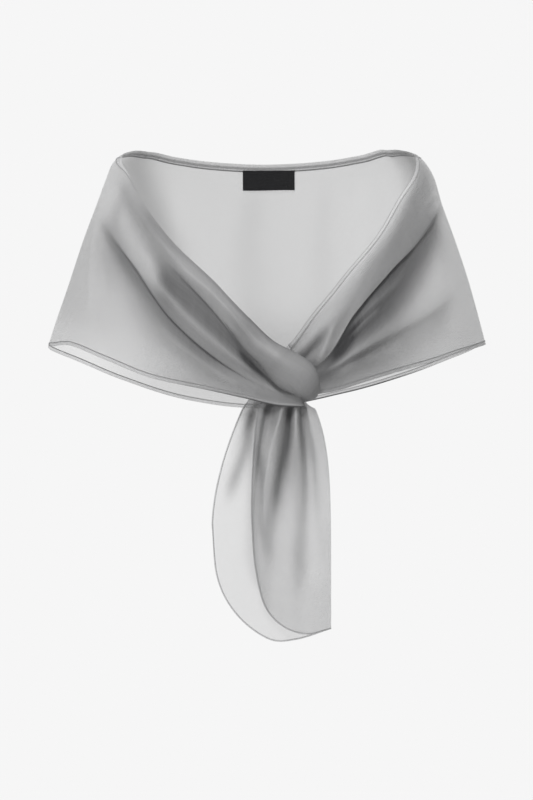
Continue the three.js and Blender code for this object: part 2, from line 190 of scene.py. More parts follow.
@dataclass
class Surface:
    """Points, faces, cloth coordinates and thickness of weave of a mesh in the making.

    Attributes:
        points: places in millimetres, one row for each point.
        quads: faces as four point numbers.
        uv: places on the flat cloth in metres.
        tones: cover and shade of the cloth at each point, each from 0 to 1.
    """

    points: Array
    quads: Array
    uv: Array
    tones: Array

    @staticmethod
    def joined(parts: Sequence[Surface]) -> Surface:
        """Returns several surfaces as one, with their points numbered on."""
        firsts = np.cumsum([0] + [len(part.points) for part in parts[:-1]])
        return Surface(
            np.concatenate([part.points for part in parts]),
            np.concatenate([part.quads + first for part, first in zip(parts, firsts)]),
            np.concatenate([part.uv for part in parts]),
            np.concatenate([part.tones for part in parts]),
        )

    def used(self) -> Surface:
        """Returns the surface without the points that no face uses."""
        kept, quads = np.unique(self.quads, return_inverse=True)
        quads = quads.reshape(-1, 4)
        return Surface(self.points[kept], quads, self.uv[kept], self.tones[kept])

    def make(self, name: str, material: bpy.types.Material) -> bpy.types.Object:
        """Makes a mesh object with smooth faces.

        Args:
            name: the piece's name.
            material: its finish.

        Returns:
            The object, at the origin of the scene.
        """
        mesh = bpy.data.meshes.new(name)
        mesh.vertices.add(len(self.points))
        mesh.vertices.foreach_set("co", (self.points * MM).astype(np.float32).ravel())
        mesh.loops.add(self.quads.size)
        mesh.loops.foreach_set("vertex_index", self.quads.astype(np.int32).ravel())
        mesh.polygons.add(len(self.quads))
        mesh.polygons.foreach_set("loop_start", np.arange(0, self.quads.size, 4, dtype=np.int32))
        mesh.polygons.foreach_set("use_smooth", np.ones(len(self.quads), bool))
        weave = mesh.uv_layers.new(name=Organza.UV)
        weave.data.foreach_set("uv", self.uv[self.quads.ravel()].astype(np.float32).ravel())
        for tone, values in zip(Organza.TONES, self.tones.T):
            attribute = mesh.attributes.new(tone, "FLOAT", "POINT")
            attribute.data.foreach_set("value", values.astype(np.float32))
        mesh.update(calc_edges=True)
        mesh.validate()
        mesh.materials.append(material)
        piece = bpy.data.objects.new(name, mesh)
        bpy.context.scene.collection.objects.link(piece)
        return piece


def thicken(piece: bpy.types.Object, thickness: float) -> None:
    """Gives a sheet its thickness, half to either side.

    Args:
        piece: the sheet's object.
        thickness: in millimetres.
    """
    shell = piece.modifiers.new("cloth_thickness", "SOLIDIFY")
    shell.thickness = thickness * MM
    shell.offset = 0


def report_piece(piece: bpy.types.Object, slot: Slot, nodes: Sequence[str] = ()) -> None:
    """Fixes a piece to the stole's body and says so.

    Args:
        piece: the object.
        slot: the material slot that it takes its finish from; not used.
        nodes: the solids that it stands for.
    """
    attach(piece, BODY)
    if nodes:
        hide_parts(*nodes)
    LOG.info("%s: %d faces", piece.name, len(piece.data.polygons))


# Finishes


class Shader:
    """A material's node tree with its surface shader."""

    def __init__(self, name: str) -> None:
        """Starts a material with one surface shader."""
        self.material = bpy.data.materials.new(name)
        self.material.use_nodes = True
        self.nodes = self.material.node_tree.nodes
        self.surface = self.nodes["Principled BSDF"]

    def add(self, kind: str, **settings: object) -> bpy.types.Node:
        """Adds a node.

        Args:
            kind: the node's type.
            settings: its properties.

        Returns:
            The node.
        """
        node = self.nodes.new(kind)
        for key, value in settings.items():
            setattr(node, key, value)
        return node

    def link(self, start: bpy.types.NodeSocket, end: bpy.types.NodeSocket) -> None:
        """Joins an output to an input."""
        self.material.node_tree.links.new(start, end)

    def math(self, operation: str, a: object, b: object) -> bpy.types.NodeSocket:
        """Adds a sum of two values.

        Args:
            operation: the kind of sum.
            a: a socket or a number.
            b: a socket or a number.

        Returns:
            The result's socket.
        """
        node = self.add("ShaderNodeMath", operation=operation)
        for socket, value in zip(node.inputs, (a, b)):
            if isinstance(value, bpy.types.NodeSocket):
                self.link(value, socket)
            else:
                socket.default_value = value
        return node.outputs[0]

    def scaled(
        self, value: bpy.types.NodeSocket, low: float, high: float
    ) -> bpy.types.NodeSocket:
        """Stretches a value from the range 0 to 1 to another range.

        Args:
            value: the socket.
            low: what 0 becomes.
            high: what 1 becomes.

        Returns:
            The result's socket.
        """
        node = self.add("ShaderNodeMapRange")
        self.link(value, node.inputs["Value"])
        node.inputs["To Min"].default_value = low
        node.inputs["To Max"].default_value = high
        return node.outputs["Result"]

    def coloured(
        self, value: bpy.types.NodeSocket, low: Sequence[float], high: Sequence[float]
    ) -> bpy.types.NodeSocket:
        """Turns a value into a colour between two.

        Args:
            value: the socket, from 0 to 1.
            low: the colour at 0.
            high: the colour at 1.

        Returns:
            The colour's socket.
        """
        node = self.add("ShaderNodeMix", data_type="RGBA")
        self.link(value, node.inputs["Factor"])
        node.inputs["A"].default_value = (*low, 1)
        node.inputs["B"].default_value = (*high, 1)
        return node.outputs["Result"]

    def threads(self, uv: str, pitch: float) -> bpy.types.NodeSocket:
        """Adds a plain weave: the higher of two waves, along the cloth and across it.

        Args:
            uv: the name of the cloth's coordinates.
            pitch: the space between threads in millimetres.

        Returns:
            The height's socket, from 0 to 1.
        """
        wave_length = 0.314
        place = self.add("ShaderNodeUVMap", uv_map=uv).outputs["UV"]
        heights = []
        for direction in ("X", "Y"):
            wave = self.add("ShaderNodeTexWave", bands_direction=direction)
            self.link(place, wave.inputs["Vector"])
            wave.inputs["Scale"].default_value = wave_length / (pitch * MM)
            heights.append(wave.outputs["Fac"])
        return self.math("MAXIMUM", *heights)

    def slubs(self, uv: str, along: float, across: float) -> bpy.types.NodeSocket:
        """Adds uneven threads: noise drawn out along the cloth plus noise drawn out across it.

        Args:
            uv: the name of the cloth's coordinates.
            along: spots to a metre along a thread.
            across: spots to a metre from thread to thread.

        Returns:
            The socket, from 0 to 1.
        """
        place = self.add("ShaderNodeUVMap", uv_map=uv).outputs["UV"]
        values = []
        for scale in ((along, across, 1), (across, along, 1)):
            stretch = self.add("ShaderNodeMapping")
            stretch.inputs["Scale"].default_value = scale
            self.link(place, stretch.inputs["Vector"])
            noise = self.add("ShaderNodeTexNoise")
            noise.inputs["Scale"].default_value = 1
            noise.inputs["Detail"].default_value = 2
            self.link(stretch.outputs["Vector"], noise.inputs["Vector"])
            values.append(noise.outputs["Fac"])
        return self.math("MULTIPLY", self.math("ADD", *values), 0.5)

    def bump(self, height: bpy.types.NodeSocket, strength: float, depth: float) -> None:
        """Raises the surface by a height.

        Args:
            height: the socket, from 0 to 1.
            strength: how much of it shows.
            depth: the height of 1 in millimetres.
        """
        node = self.add("ShaderNodeBump")
        node.inputs["Strength"].default_value = strength
        node.inputs["Distance"].default_value = depth * MM
        self.link(height, node.inputs["Height"])
        self.link(node.outputs["Normal"], self.surface.inputs["Normal"])

    def settle(self, **values: object) -> None:
        """Sets plain values on the surface shader, named with _ in place of spaces."""
        for key, value in values.items():
            self.surface.inputs[key.replace("_", " ")].default_value = value


@dataclass(frozen=True)
class Organza:
    """Sheer organza with a satin shine.

    Attributes:
        name: the material's name.
        light: colour at shade 0; plain cloth has the shade PLAIN.
        dark: colour at shade 1.
        least_cover: how much light one face stops at cover 0; plain cloth has SHEER.
        full_cover: the same where the cloth is bunched.
        roughness: breadth of the shine.
        lustre: strength of the threads' own shine.
        pitch: space between threads.
        slubs: how much darker or lighter uneven threads look.
    """

    UV = "cloth"
    TONES = ("cover", "shade")
    PLAIN = 0.52
    SHEER = 0.115

    name: str = "organza"
    light: tuple[float, float, float] = (0.9, 0.9, 0.905)
    dark: tuple[float, float, float] = (0.03, 0.03, 0.032)
    least_cover: float = 0.18
    full_cover: float = 0.96
    roughness: float = 0.52
    lustre: float = 0.06
    pitch: float = 0.45
    slubs: float = 0.07

    def material(self) -> bpy.types.Material:
        """Returns the finish: cover sets how sheer it is, shade how dark, and threads vary."""
        shader = Shader(self.name)
        cover, shade = (
            shader.add("ShaderNodeAttribute", attribute_name=tone).outputs["Fac"]
            for tone in self.TONES
        )
        slubs = shader.slubs(self.UV, along=25, across=500)
        slubs = shader.scaled(slubs, -self.slubs, self.slubs)
        # Shade carries the plain tone plus painted shade in folds and painted highlights on ridges.
        colour = shader.coloured(shader.math("ADD", shade, slubs), self.light, self.dark)
        shader.link(colour, shader.surface.inputs["Base Color"])
        alpha = shader.scaled(cover, self.least_cover, self.full_cover)
        shader.link(alpha, shader.surface.inputs["Alpha"])
        shader.bump(shader.threads(self.UV, self.pitch), strength=0.1, depth=0.05)
        shader.settle(
            Roughness=self.roughness, Metallic=self.lustre, Specular_IOR_Level=0.45,
            Sheen_Weight=0.1,
        )
        return shader.material


@dataclass(frozen=True)
class LabelTape:
    """Black woven label tape, matt, with nothing on it."""

    name: str = "label_tape"
    ground: tuple[float, float, float] = (0.006, 0.006, 0.007)
    thread: tuple[float, float, float] = (0.016, 0.016, 0.018)
    pitch: float = 0.5

    def material(self) -> bpy.types.Material:
        """Returns the finish: dark ground between slightly lighter threads."""
        shader = Shader(self.name)
        weave = shader.threads(Organza.UV, self.pitch)
        colour = shader.coloured(weave, self.ground, self.thread)
        shader.link(colour, shader.surface.inputs["Base Color"])
        shader.bump(weave, strength=0.5, depth=0.12)
        shader.settle(Roughness=0.7, Specular_IOR_Level=0.3, Sheen_Weight=0.1)
        return shader.material


@dataclass(frozen=True)
class Thread:
    """Sewing thread, twisted and slightly glossy."""

    name: str
    dark: tuple[float, float, float]
    light: tuple[float, float, float]

    def material(self) -> bpy.types.Material:
        """Returns the finish: two tones that alternate along the thread like its twist."""
        shader = Shader(self.name)
        twist = shader.threads(Organza.UV, pitch=0.6)
        colour = shader.coloured(twist, self.dark, self.light)
        shader.link(colour, shader.surface.inputs["Base Color"])
        shader.settle(Roughness=0.5)
        return shader.material


# The hollow that the cloth lies on


@dataclass(frozen=True)
class Ring:
    """Half widths to either side and depths of the hollow at one height."""

    z: float
    left: float
    right: float
    front: float
    back: float


@dataclass(frozen=True)
class Edge:
    """Heights of neck edge and hem at an angle round the hollow, from the front."""

    angle: float
    top: float
    hem: float


class Hollow:
    """The empty space inside the worn cloth: an oval ring at each height."""

    RINGS = (
        Ring(-300, 271, 271, 151, 137),
        Ring(-222, 251, 251.5, 150, 132),
        Ring(-150, 227, 232, 137, 126),
        Ring(-100, 210.5, 215.5, 123, 118),
        Ring(-60, 195.5, 201, 108, 109),
        Ring(-30, 184.5, 192, 91, 99),
        Ring(-12, 176.5, 181.5, 77, 91),
        Ring(0, 162, 168, 66, 86),
        Ring(10, 150, 156, 58, 82),
    )

    def __init__(self) -> None:
        """Makes a curve of each column of the rings."""
        self.left = column_curve(self.RINGS, "z", "left")
        self.right = column_curve(self.RINGS, "z", "right")
        self.front = column_curve(self.RINGS, "z", "front")
        self.back = column_curve(self.RINGS, "z", "back")

    def point(self, angle: Array, z: Array) -> Array:
        """Returns the points at angles from the front and heights: half width times sine to
        the side, and depth times cosine to the front."""
        turn = np.radians(angle)
        side = np.where(np.sin(turn) < 0, self.left(z), self.right(z)) * np.sin(turn)
        depth = np.where(np.cos(turn) > 0, self.front(z), self.back(z)) * np.cos(turn)
        return np.stack(np.broadcast_arrays(side, -depth, z), axis=-1)

    def normal(self, angle: Array, z: Array) -> Array:
        """Returns the outward directions: the slope round the ring crossed with that upwards."""
        round_it = self.point(angle + 0.5, z) - self.point(angle - 0.5, z)
        upwards = self.point(angle, z + 1) - self.point(angle, z - 1)
        return unit(np.cross(round_it, upwards))


# Folds


@dataclass(frozen=True)
class Pleat:
    """A fold that runs to the knot, with its upper side lapped over the lower.

    Attributes:
        line: its place between neck edge (0) and hem (1) at the stations along the stretch.
        spread: half width as a share of the cloth's height.
        reach: how far the upper side laps over the lower, in spreads.
        rise: how far it stands out.
        begin: where along the stretch it starts.
        full: where it is full.
        fade: the share that it loses beside the knot.
        bunch_and_shadow: how much thicker the cloth tucked under it looks, with painted shadow
            there.
    """

    # Stations along the stretch, and those between which a fold fades.
    STATIONS = (0, 0.3, 0.5, 0.65, 0.8, 0.9, 1)
    KNOT = (0.76, 0.95)

    line: tuple[float, ...]
    spread: float
    reach: float
    rise: float
    begin: float
    full: float
    fade: float
    bunch_and_shadow: float = 0.0

    @cached_property
    def place(self) -> Curve:
        """The fold's place as a curve along the stretch."""
        return Curve(self.STATIONS, self.line)

    def strength(self, along: Array) -> Array:
        """Returns how full the fold is: it grows from begin to full and fades at the knot."""
        return smooth(along, self.begin, self.full) * (1 - self.fade * smooth(along, *self.KNOT))

    def bend(self, along: Array, place: Array) -> tuple[Array, Array]:
        """Returns lap and rise: with x the distance from the line in spreads, both follow
        -x exp((1 - x^2) / 2), so the cloth is pushed down above the line and up below it."""
        x = (place - self.place(along)) / self.spread
        strength = self.strength(along)
        bend = -x * np.exp((1 - x * x) / 2) * strength
        return bend * strength * self.reach * self.spread, bend * self.rise

    def bunch_and_painted_shade(self, along: Array, place: Array) -> Array:
        """Returns how much cloth is bunched, with the painted shadow under the fold: a bell below
        the line.
        """
        x = (place - self.place(along)) / self.spread
        # Painted shadow under the fold, which also raises the cover.
        return self.bunch_and_shadow * self.strength(along) * np.exp(-(((x - 1.0) / 1.3) ** 2))


@dataclass(frozen=True)
class Crease:
    """A soft ridge or trough along a smooth line on a sheet.

    Attributes:
        path: (along, place, half width) at points of the line, from one end to the other.
        rise: height of a ridge, or less than 0 for a trough.
        shade: painted shade along it, how much darker it is made, or less than 0 for a painted
            highlight.
        upper: width on its upper side as a share of that on the lower.
        fade: the share of the line from which it fades to its far end.
    """

    STEPS = 6

    path: tuple[tuple[float, float, float], ...]
    rise: float
    shade: float = 0.0
    upper: float = 1.0
    fade: float = 0.8

    def bell(self, flat: Flat, along: Array, place: Array) -> Array:
        """Gives the crease's share: the highest of the bells round the line's short steps, each
        a bell of the distance in half widths, that fades at both ends of the line.

        Args:
            flat: where points of the sheet lie on the flat cloth in millimetres.
            along: places along the sheet.
            place: places down it.

        Returns:
            Shares from 0 to 1.
        """
        count = self.STEPS * (len(self.path) - 1)
        at = np.linspace(0, 1, count + 1)
        marks = np.linspace(0, 1, len(self.path))
        line_along, line_place, widths = (Curve(marks, c)(at) for c in zip(*self.path))
        line = flat(line_along, line_place)
        here = flat(along, place)
        share = np.zeros(here.shape[:-1])
        for i in range(count):
            step = line[i + 1] - line[i]
            t = np.clip((here - line[i]) @ step / (step @ step), 0, 1)
            gap = here - line[i] - t[..., None] * step
            away = np.sum(gap * gap, axis=-1)
            across = step[1] * gap[..., 0] - step[0] * gap[..., 1]
            above = 0.5 + 0.5 * across / (np.sqrt(away * (step @ step)) + 1e-9)
            width = mix(widths[i], widths[i + 1], t) * mix(1, self.upper, above)
            run = (i + t) / count
            left = smooth(run, 0, 0.2) * (1 - smooth(run, self.fade, 1))
            share = np.maximum(share, np.exp(-away / width**2) * left)
        return share


def crease_rise(creases: Sequence[Crease], flat: Flat, along: Array, place: Array) -> Array:
    """Returns the summed height of creases at places of a sheet."""
    return sum(crease.rise * crease.bell(flat, along, place) for crease in creases)


def crease_shade(creases: Sequence[Crease], flat: Flat, along: Array, place: Array) -> Array:
    """Returns the summed painted shade and highlights of creases at places of a sheet."""
    return sum(crease.shade * crease.bell(flat, along, place) for crease in creases)


# Stretches of the strip


@dataclass(frozen=True)
class Front:
    """A front stretch of the strip, from the arm (along 0) to the knot (along 1).

    Attributes:
        edges: heights of neck edge and hem.
        pleats: lapped folds that run to the knot.
        creases: softer folds.
        arm: angle of the arm's line round the hollow.
        ends: angles where it stops in the knot, at the neck edge and at the hem.
        length: from arm to knot.
        roll: width and depth of the neck edge that rolls inwards.
        sink: how far it dips in the knot.
        lift: how far its hem stands off there.
        collar: cover of the doubled cloth above the main fold, and the painted shade that darkens
            it.
        painted_light: how much lighter the cloth below the main fold is painted, halfway to the
            knot.
    """

    # Fine gathers beside the knot: where they start, their number and how far they stand out.
    GATHER_FROM = 0.7
    GATHERS = 4
    GATHER_RISE = 0.8
    # The way across the slanting folds, as a share of that straight down.
    LEAN = 0.65
    # Cover of the gathered knot and its painted shade, where along they set in, and how much later
    # by the hem.
    KNOT_COVER = 0.88
    KNOT_SHADE = 0.68
    DARKENS = (0.35, 0.85)
    LATE = 0.17
    BY_HEM = (0.55, 0.9)
    # Where the collar sets in along the stretch, and how it ends below the main fold.
    COLLAR_FROM = (0.15, 0.45)
    COLLAR_END = (-0.02, 0.3)
    # Where the painted light patch sets in and ends along the stretch, and below the main fold.
    PAINTED_LIGHT_FROM = (0.25, 0.5)
    PAINTED_LIGHT_TO = (0.5, 0.75)
    PAINTED_LIGHT_BELOW = (0.12, 0.45)

    hollow: Hollow
    edges: tuple[Edge, ...]
    pleats: tuple[Pleat, ...]
    creases: tuple[Crease, ...]
    arm: float
    ends: tuple[float, float]
    length: float
    roll: tuple[float, float]
    sink: float
    lift: float
    collar: tuple[float, float]
    painted_light: float

    @cached_property
    def top(self) -> Curve:
        """The neck edge's height round the hollow."""
        return column_curve(self.edges, "angle", "top")

    @cached_property
    def hem(self) -> Curve:
        """The hem's height round the hollow."""
        return column_curve(self.edges, "angle", "hem")

    def flat(self, along: Array, place: Array) -> Array:
        """Returns places on the flat cloth in millimetres: distance from the arm, and distance
        from the neck edge measured across the leaning folds."""
        along, place = np.broadcast_arrays(along, place)
        angle = mix(self.arm, sum(self.ends) / 2, along)
        height = self.top(angle) - self.hem(angle)
        return np.stack([along * self.length, place * height * self.LEAN], axis=-1)

    def points(self, along: Array, place: Array) -> Array:
        """Gives points of the stretch: a height between neck edge and hem, moved by the laps of
        the pleats, on the hollow at that angle, and pushed out by rolls, pleats and creases.

        Args:
            along: places from the arm to the knot.
            place: places from the neck edge to the hem.

        Returns:
            Points in millimetres.
        """
        angle = mix(self.arm, mix(*self.ends, place), along)
        top = self.top(angle)
        height = top - self.hem(angle)
        knot = smooth(along, self.GATHER_FROM, 1)
        edge = np.maximum(0, 1 - place * height / self.roll[0])
        rise = -self.roll[1] * edge**2 * smooth(along, 0, Pleat.STATIONS[1]) * (1 - knot)
        lap = np.zeros_like(rise)
        for pleat in self.pleats:
            moved, raised = pleat.bend(along, place)
            lap = lap + moved
            rise = rise + raised
        rise = rise + crease_rise(self.creases, self.flat, along, place)
        rise = rise + self.GATHER_RISE * knot * np.sin(2 * np.pi * self.GATHERS * place)
        rise = rise + knot * (self.lift * place - self.sink)
        z = top - height * (place + lap)
        return self.hollow.point(angle, z) + self.hollow.normal(angle, z) * rise[..., None]

    def tones(self, along: Array, place: Array) -> Array:
        """Gives cover and painted shade: more above the main fold, in the folds and by the knot,
        and the shade painted lighter in a patch below the main fold.

        Args:
            along: places from the arm to the knot.
            place: places from the neck edge to the hem.

        Returns:
            Cover and shade, each from 0 to 1.
        """
        main = self.pleats[1].place(along)
        collar = 1 - smooth(place - main, *self.COLLAR_END)
        collar = collar * smooth(along, *self.COLLAR_FROM)
        knot = smooth(along - self.LATE * smooth(place, *self.BY_HEM), *self.DARKENS)
        cover = mix(Organza.SHEER + self.collar[0] * collar, self.KNOT_COVER, knot)
        shade = mix(Organza.PLAIN + self.collar[1] * collar, self.KNOT_SHADE, knot)
        # Painted light: a lighter patch below the main fold, on the shade only.
        painted_light = smooth(along, *self.PAINTED_LIGHT_FROM) * (1 - smooth(along, *self.PAINTED_LIGHT_TO))
        shade = shade - self.painted_light * painted_light * smooth(place - main, *self.PAINTED_LIGHT_BELOW)
        # Painted shade and highlights of pleats and creases, which also change the cover.
        bunch_and_painted_shade = sum(pleat.bunch_and_painted_shade(along, place) for pleat in self.pleats)
        bunch_and_painted_shade = bunch_and_painted_shade + crease_shade(self.creases, self.flat, along, place)
        cover = cover + bunch_and_painted_shade
        shade = shade + bunch_and_painted_shade
        return np.clip(np.stack([cover, shade], axis=-1), 0, 1)


LEFT_EDGES = (
    Edge(-90, -2, -223),
    Edge(-77, -8, -223.5),
    Edge(-62, -25, -223.5),
    Edge(-45, -65, -240),
    Edge(-30, -107, -260),
    Edge(-15, -152, -273.5),
    Edge(-5, -194, -283.5),
    Edge(2, -221, -291),
    Edge(8, -238, -293),
)
LEFT_PLEATS = (
    Pleat((0.18, 0.2, 0.2, 0.185, 0.3, 0.515, 0.61), 0.05, 0.5, 1.2, 0.46, 0.75, 0.9),
    Pleat((0.3, 0.34, 0.369, 0.522, 0.695, 0.775, 0.815), 0.033, 0.85, 1.1, 0.16, 0.55, 0.75),
)
# Painted shade along troughs and painted highlights along ridges; the first paints the cloth by the
# arm lighter.
LEFT_CREASES = (
    Crease(((0.0, 0.1, 22), (0.1, 0.11, 24), (0.2, 0.13, 22), (0.32, 0.16, 10)), 0, -0.2),
    Crease(
        ((0.15, 0.325, 2), (0.25, 0.345, 4), (0.35, 0.37, 6), (0.44, 0.4, 7), (0.52, 0.44, 8),
         (0.596, 0.505, 8.5), (0.669, 0.595, 8), (0.743, 0.685, 7), (0.818, 0.745, 5),
         (0.91, 0.8, 3)),
        rise=-2.0, shade=0.17,
    ),
    Crease(
        ((0.548, 0.3, 5), (0.59, 0.3, 11), (0.645, 0.3, 16), (0.729, 0.335, 16),
         (0.791, 0.395, 14), (0.848, 0.46, 11), (0.895, 0.56, 8), (0.945, 0.66, 4)),
        rise=-2.5, shade=0.22, upper=0.75,
    ),
    Crease(
        ((0.84, 0.46, 3), (0.885, 0.555, 4), (0.92, 0.62, 3.5), (0.96, 0.69, 2)),
        rise=-1.0, shade=0.15, upper=0.6,
    ),
    Crease(
        ((0.415, 0.03, 3.2), (0.508, 0.028, 6), (0.593, 0.015, 5), (0.69, 0.01, 2.3),
         (0.795, 0.02, 1.8), (0.855, 0.03, 1.8)),
        rise=0.0, shade=0.1,
    ),
    Crease(
        ((0.52, 0.3, 2.3), (0.584, 0.36, 3), (0.633, 0.392, 2.8), (0.703, 0.466, 2.8),
         (0.775, 0.54, 2.8), (0.851, 0.6, 2.3), (0.93, 0.69, 1.4)),
        rise=1.2, shade=-0.1,
    ),
    Crease(
        ((0.3, 0.18, 8), (0.42, 0.22, 10), (0.5, 0.26, 10), (0.56, 0.3, 8), (0.6, 0.34, 5)),
        rise=2.0, shade=-0.22,
    ),
    Crease(
        ((0.62, 0.13, 2.3), (0.713, 0.12, 3.7), (0.79, 0.138, 4.1), (0.855, 0.185, 3.2),
         (0.902, 0.28, 2.8)),
        rise=1.5, shade=-0.05,
    ),
    Crease(
        ((0.168, 0.33, 2.3), (0.215, 0.438, 3.7), (0.265, 0.555, 5.1), (0.312, 0.695, 6),
         (0.35, 0.85, 8)),
        rise=2.2, shade=-0.05,
    ),
    Crease(
        ((0.59, 0.618, 2.3), (0.66, 0.693, 2.8), (0.733, 0.775, 2.8), (0.802, 0.848, 2.3),
         (0.873, 0.878, 1.8)),
        rise=1.2, shade=-0.02,
    ),
    Crease(
        ((0.478, 0.608, 11.5), (0.6, 0.75, 11.5), (0.72, 0.87, 8.3), (0.825, 0.925, 4.6)),
        rise=-1.5, shade=0.03,
    ),
    Crease(
        ((0.297, 0.46, 3.7), (0.355, 0.53, 6.9), (0.408, 0.64, 9.2)),
        rise=-1.5, shade=0.02,
    ),
)
RIGHT_EDGES = (
    Edge(4, -229, -283.5),
    Edge(7, -216.5, -282),
    Edge(12, -189, -279),
    Edge(18, -162.5, -274),
    Edge(24, -137.5, -266),
    Edge(34, -103.5, -254),
    Edge(48, -58, -241),
    Edge(60, -31, -231),
    Edge(75, -7.5, -224),
    Edge(90, -3.8, -220.5),
)
RIGHT_PLEATS = (
    Pleat((0.12, 0.14, 0.17, 0.2, 0.25, 0.33, 0.5), 0.06, 0.4, 1.6, 0.87, 0.98, 0.5),
    Pleat((0.275, 0.288, 0.305, 0.303, 0.398, 0.607, 0.73), 0.032, 0.88, 1.4, 0.08, 0.3, 0.7),
    Pleat((0.7, 0.715, 0.73, 0.735, 0.745, 0.775, 0.82), 0.06, 0.4, 1.6, 0.2, 0.5, 0.5, 0.02),
)
# Painted shade along troughs and painted highlights along ridges and the main fold's edge;
# the long one by the neck edge paints a lighter, sheerer strip.
RIGHT_CREASES = (
    Crease(
        ((0.02, 0.29, 4), (0.22, 0.3, 8), (0.435, 0.36, 14), (0.557, 0.42, 18), (0.657, 0.47, 20),
         (0.741, 0.515, 17), (0.81, 0.555, 12), (0.873, 0.62, 7.5), (0.935, 0.68, 4)),
        rise=-1.5, shade=0.255,
    ),
    Crease(
        ((0.44, 0.33, 3.2), (0.55, 0.34, 4), (0.621, 0.34, 4.5), (0.71, 0.36, 5),
         (0.787, 0.46, 5), (0.854, 0.58, 5)),
        rise=-1.0, shade=0.08,
    ),
    Crease(
        ((0.78, 0.46, 4), (0.83, 0.555, 6), (0.865, 0.62, 7), (0.9, 0.675, 7.5),
         (0.935, 0.72, 6), (0.965, 0.755, 4), (0.99, 0.78, 3)),
        rise=-1.0, shade=0.17, fade=0.9,
    ),
    Crease(
        ((0.551, 0.395, 2.3), (0.682, 0.425, 1.8), (0.766, 0.46, 1.6), (0.841, 0.535, 1.4)),
        rise=1.0, shade=-0.05,
    ),
    Crease(
        ((0.7, 0.492, 1.8), (0.765, 0.52, 1.8), (0.835, 0.585, 1.4)),
        rise=1.0, shade=-0.06,
    ),
    Crease(
        ((0.3, 0.43, 6.9), (0.4, 0.56, 7.8), (0.489, 0.614, 7.8), (0.603, 0.65, 6),
         (0.718, 0.675, 4.1), (0.815, 0.71, 3.2), (0.88, 0.75, 2.3), (0.94, 0.79, 1.8)),
        rise=1.6, shade=-0.08,
    ),
    Crease(
        ((0.3, 0.7, 7), (0.4, 0.745, 11), (0.49, 0.785, 14), (0.583, 0.81, 14), (0.66, 0.825, 12),
         (0.74, 0.83, 10), (0.8, 0.83, 8), (0.86, 0.83, 6)),
        rise=-1.6, shade=0.17, upper=0.75,
    ),
    Crease(
        ((0.618, 0.853, 2.8), (0.73, 0.85, 2.8), (0.823, 0.845, 2.3), (0.905, 0.85, 1.8)),
        rise=1.0, shade=-0.05,
    ),
    Crease(
        ((0.78, 0.82, 3), (0.83, 0.835, 5.5), (0.868, 0.845, 6), (0.92, 0.85, 4.5),
         (0.96, 0.85, 2)),
        rise=-1.0, shade=0.09,
    ),
    Crease(
        ((0.1, -0.02, 3), (0.3, 0.0, 4.5), (0.398, 0.01, 6), (0.512, 0.02, 8.5),
         (0.59, 0.03, 10.5), (0.693, 0.035, 13), (0.777, 0.06, 13), (0.853, 0.1, 13),
         (0.9, 0.13, 12), (0.95, 0.15, 9), (1.04, 0.17, 7), (1.14, 0.2, 6)),
        rise=0.6, shade=-0.34,
    ),
    Crease(
        ((0.263, 0.113, 6.9), (0.43, 0.16, 11.5), (0.583, 0.155, 9.2), (0.693, 0.155, 6),
         (0.76, 0.21, 5)),
        rise=-1.0, shade=0.06,
    ),
    Crease(
        ((0.905, 0.35, 5), (0.93, 0.38, 9), (0.955, 0.4, 11), (0.985, 0.42, 10), (1.02, 0.43, 8)),
        rise=-1.2, shade=0.15,
    ),
    Crease(
        ((0.3, 0.265, 1.3), (0.5, 0.285, 1.3), (0.65, 0.283, 1.3), (0.8, 0.38, 1.3),
         (0.9, 0.593, 1.3), (0.95, 0.66, 1.2)),
        rise=0.4, shade=-0.2,
    ),
    Crease(
        ((0.865, 0.34, 2.5), (0.89, 0.43, 3), (0.915, 0.53, 3.4), (0.945, 0.65, 3)),
        rise=1.5, shade=-0.12,
    ),
    Crease(((0.2, 0.05, 1.4), (0.26, 0.065, 1.6), (0.34, 0.09, 1.8)), rise=1.0, shade=-0.05),
    Crease(((0.1, 0.2, 1.4), (0.2, 0.2, 1.6), (0.34, 0.19, 1.8)), rise=1.0, shade=-0.05),
    Crease(((0.1, 0.25, 1.2), (0.2, 0.25, 1.4), (0.34, 0.22, 1.6)), rise=1.0, shade=-0.05),
)


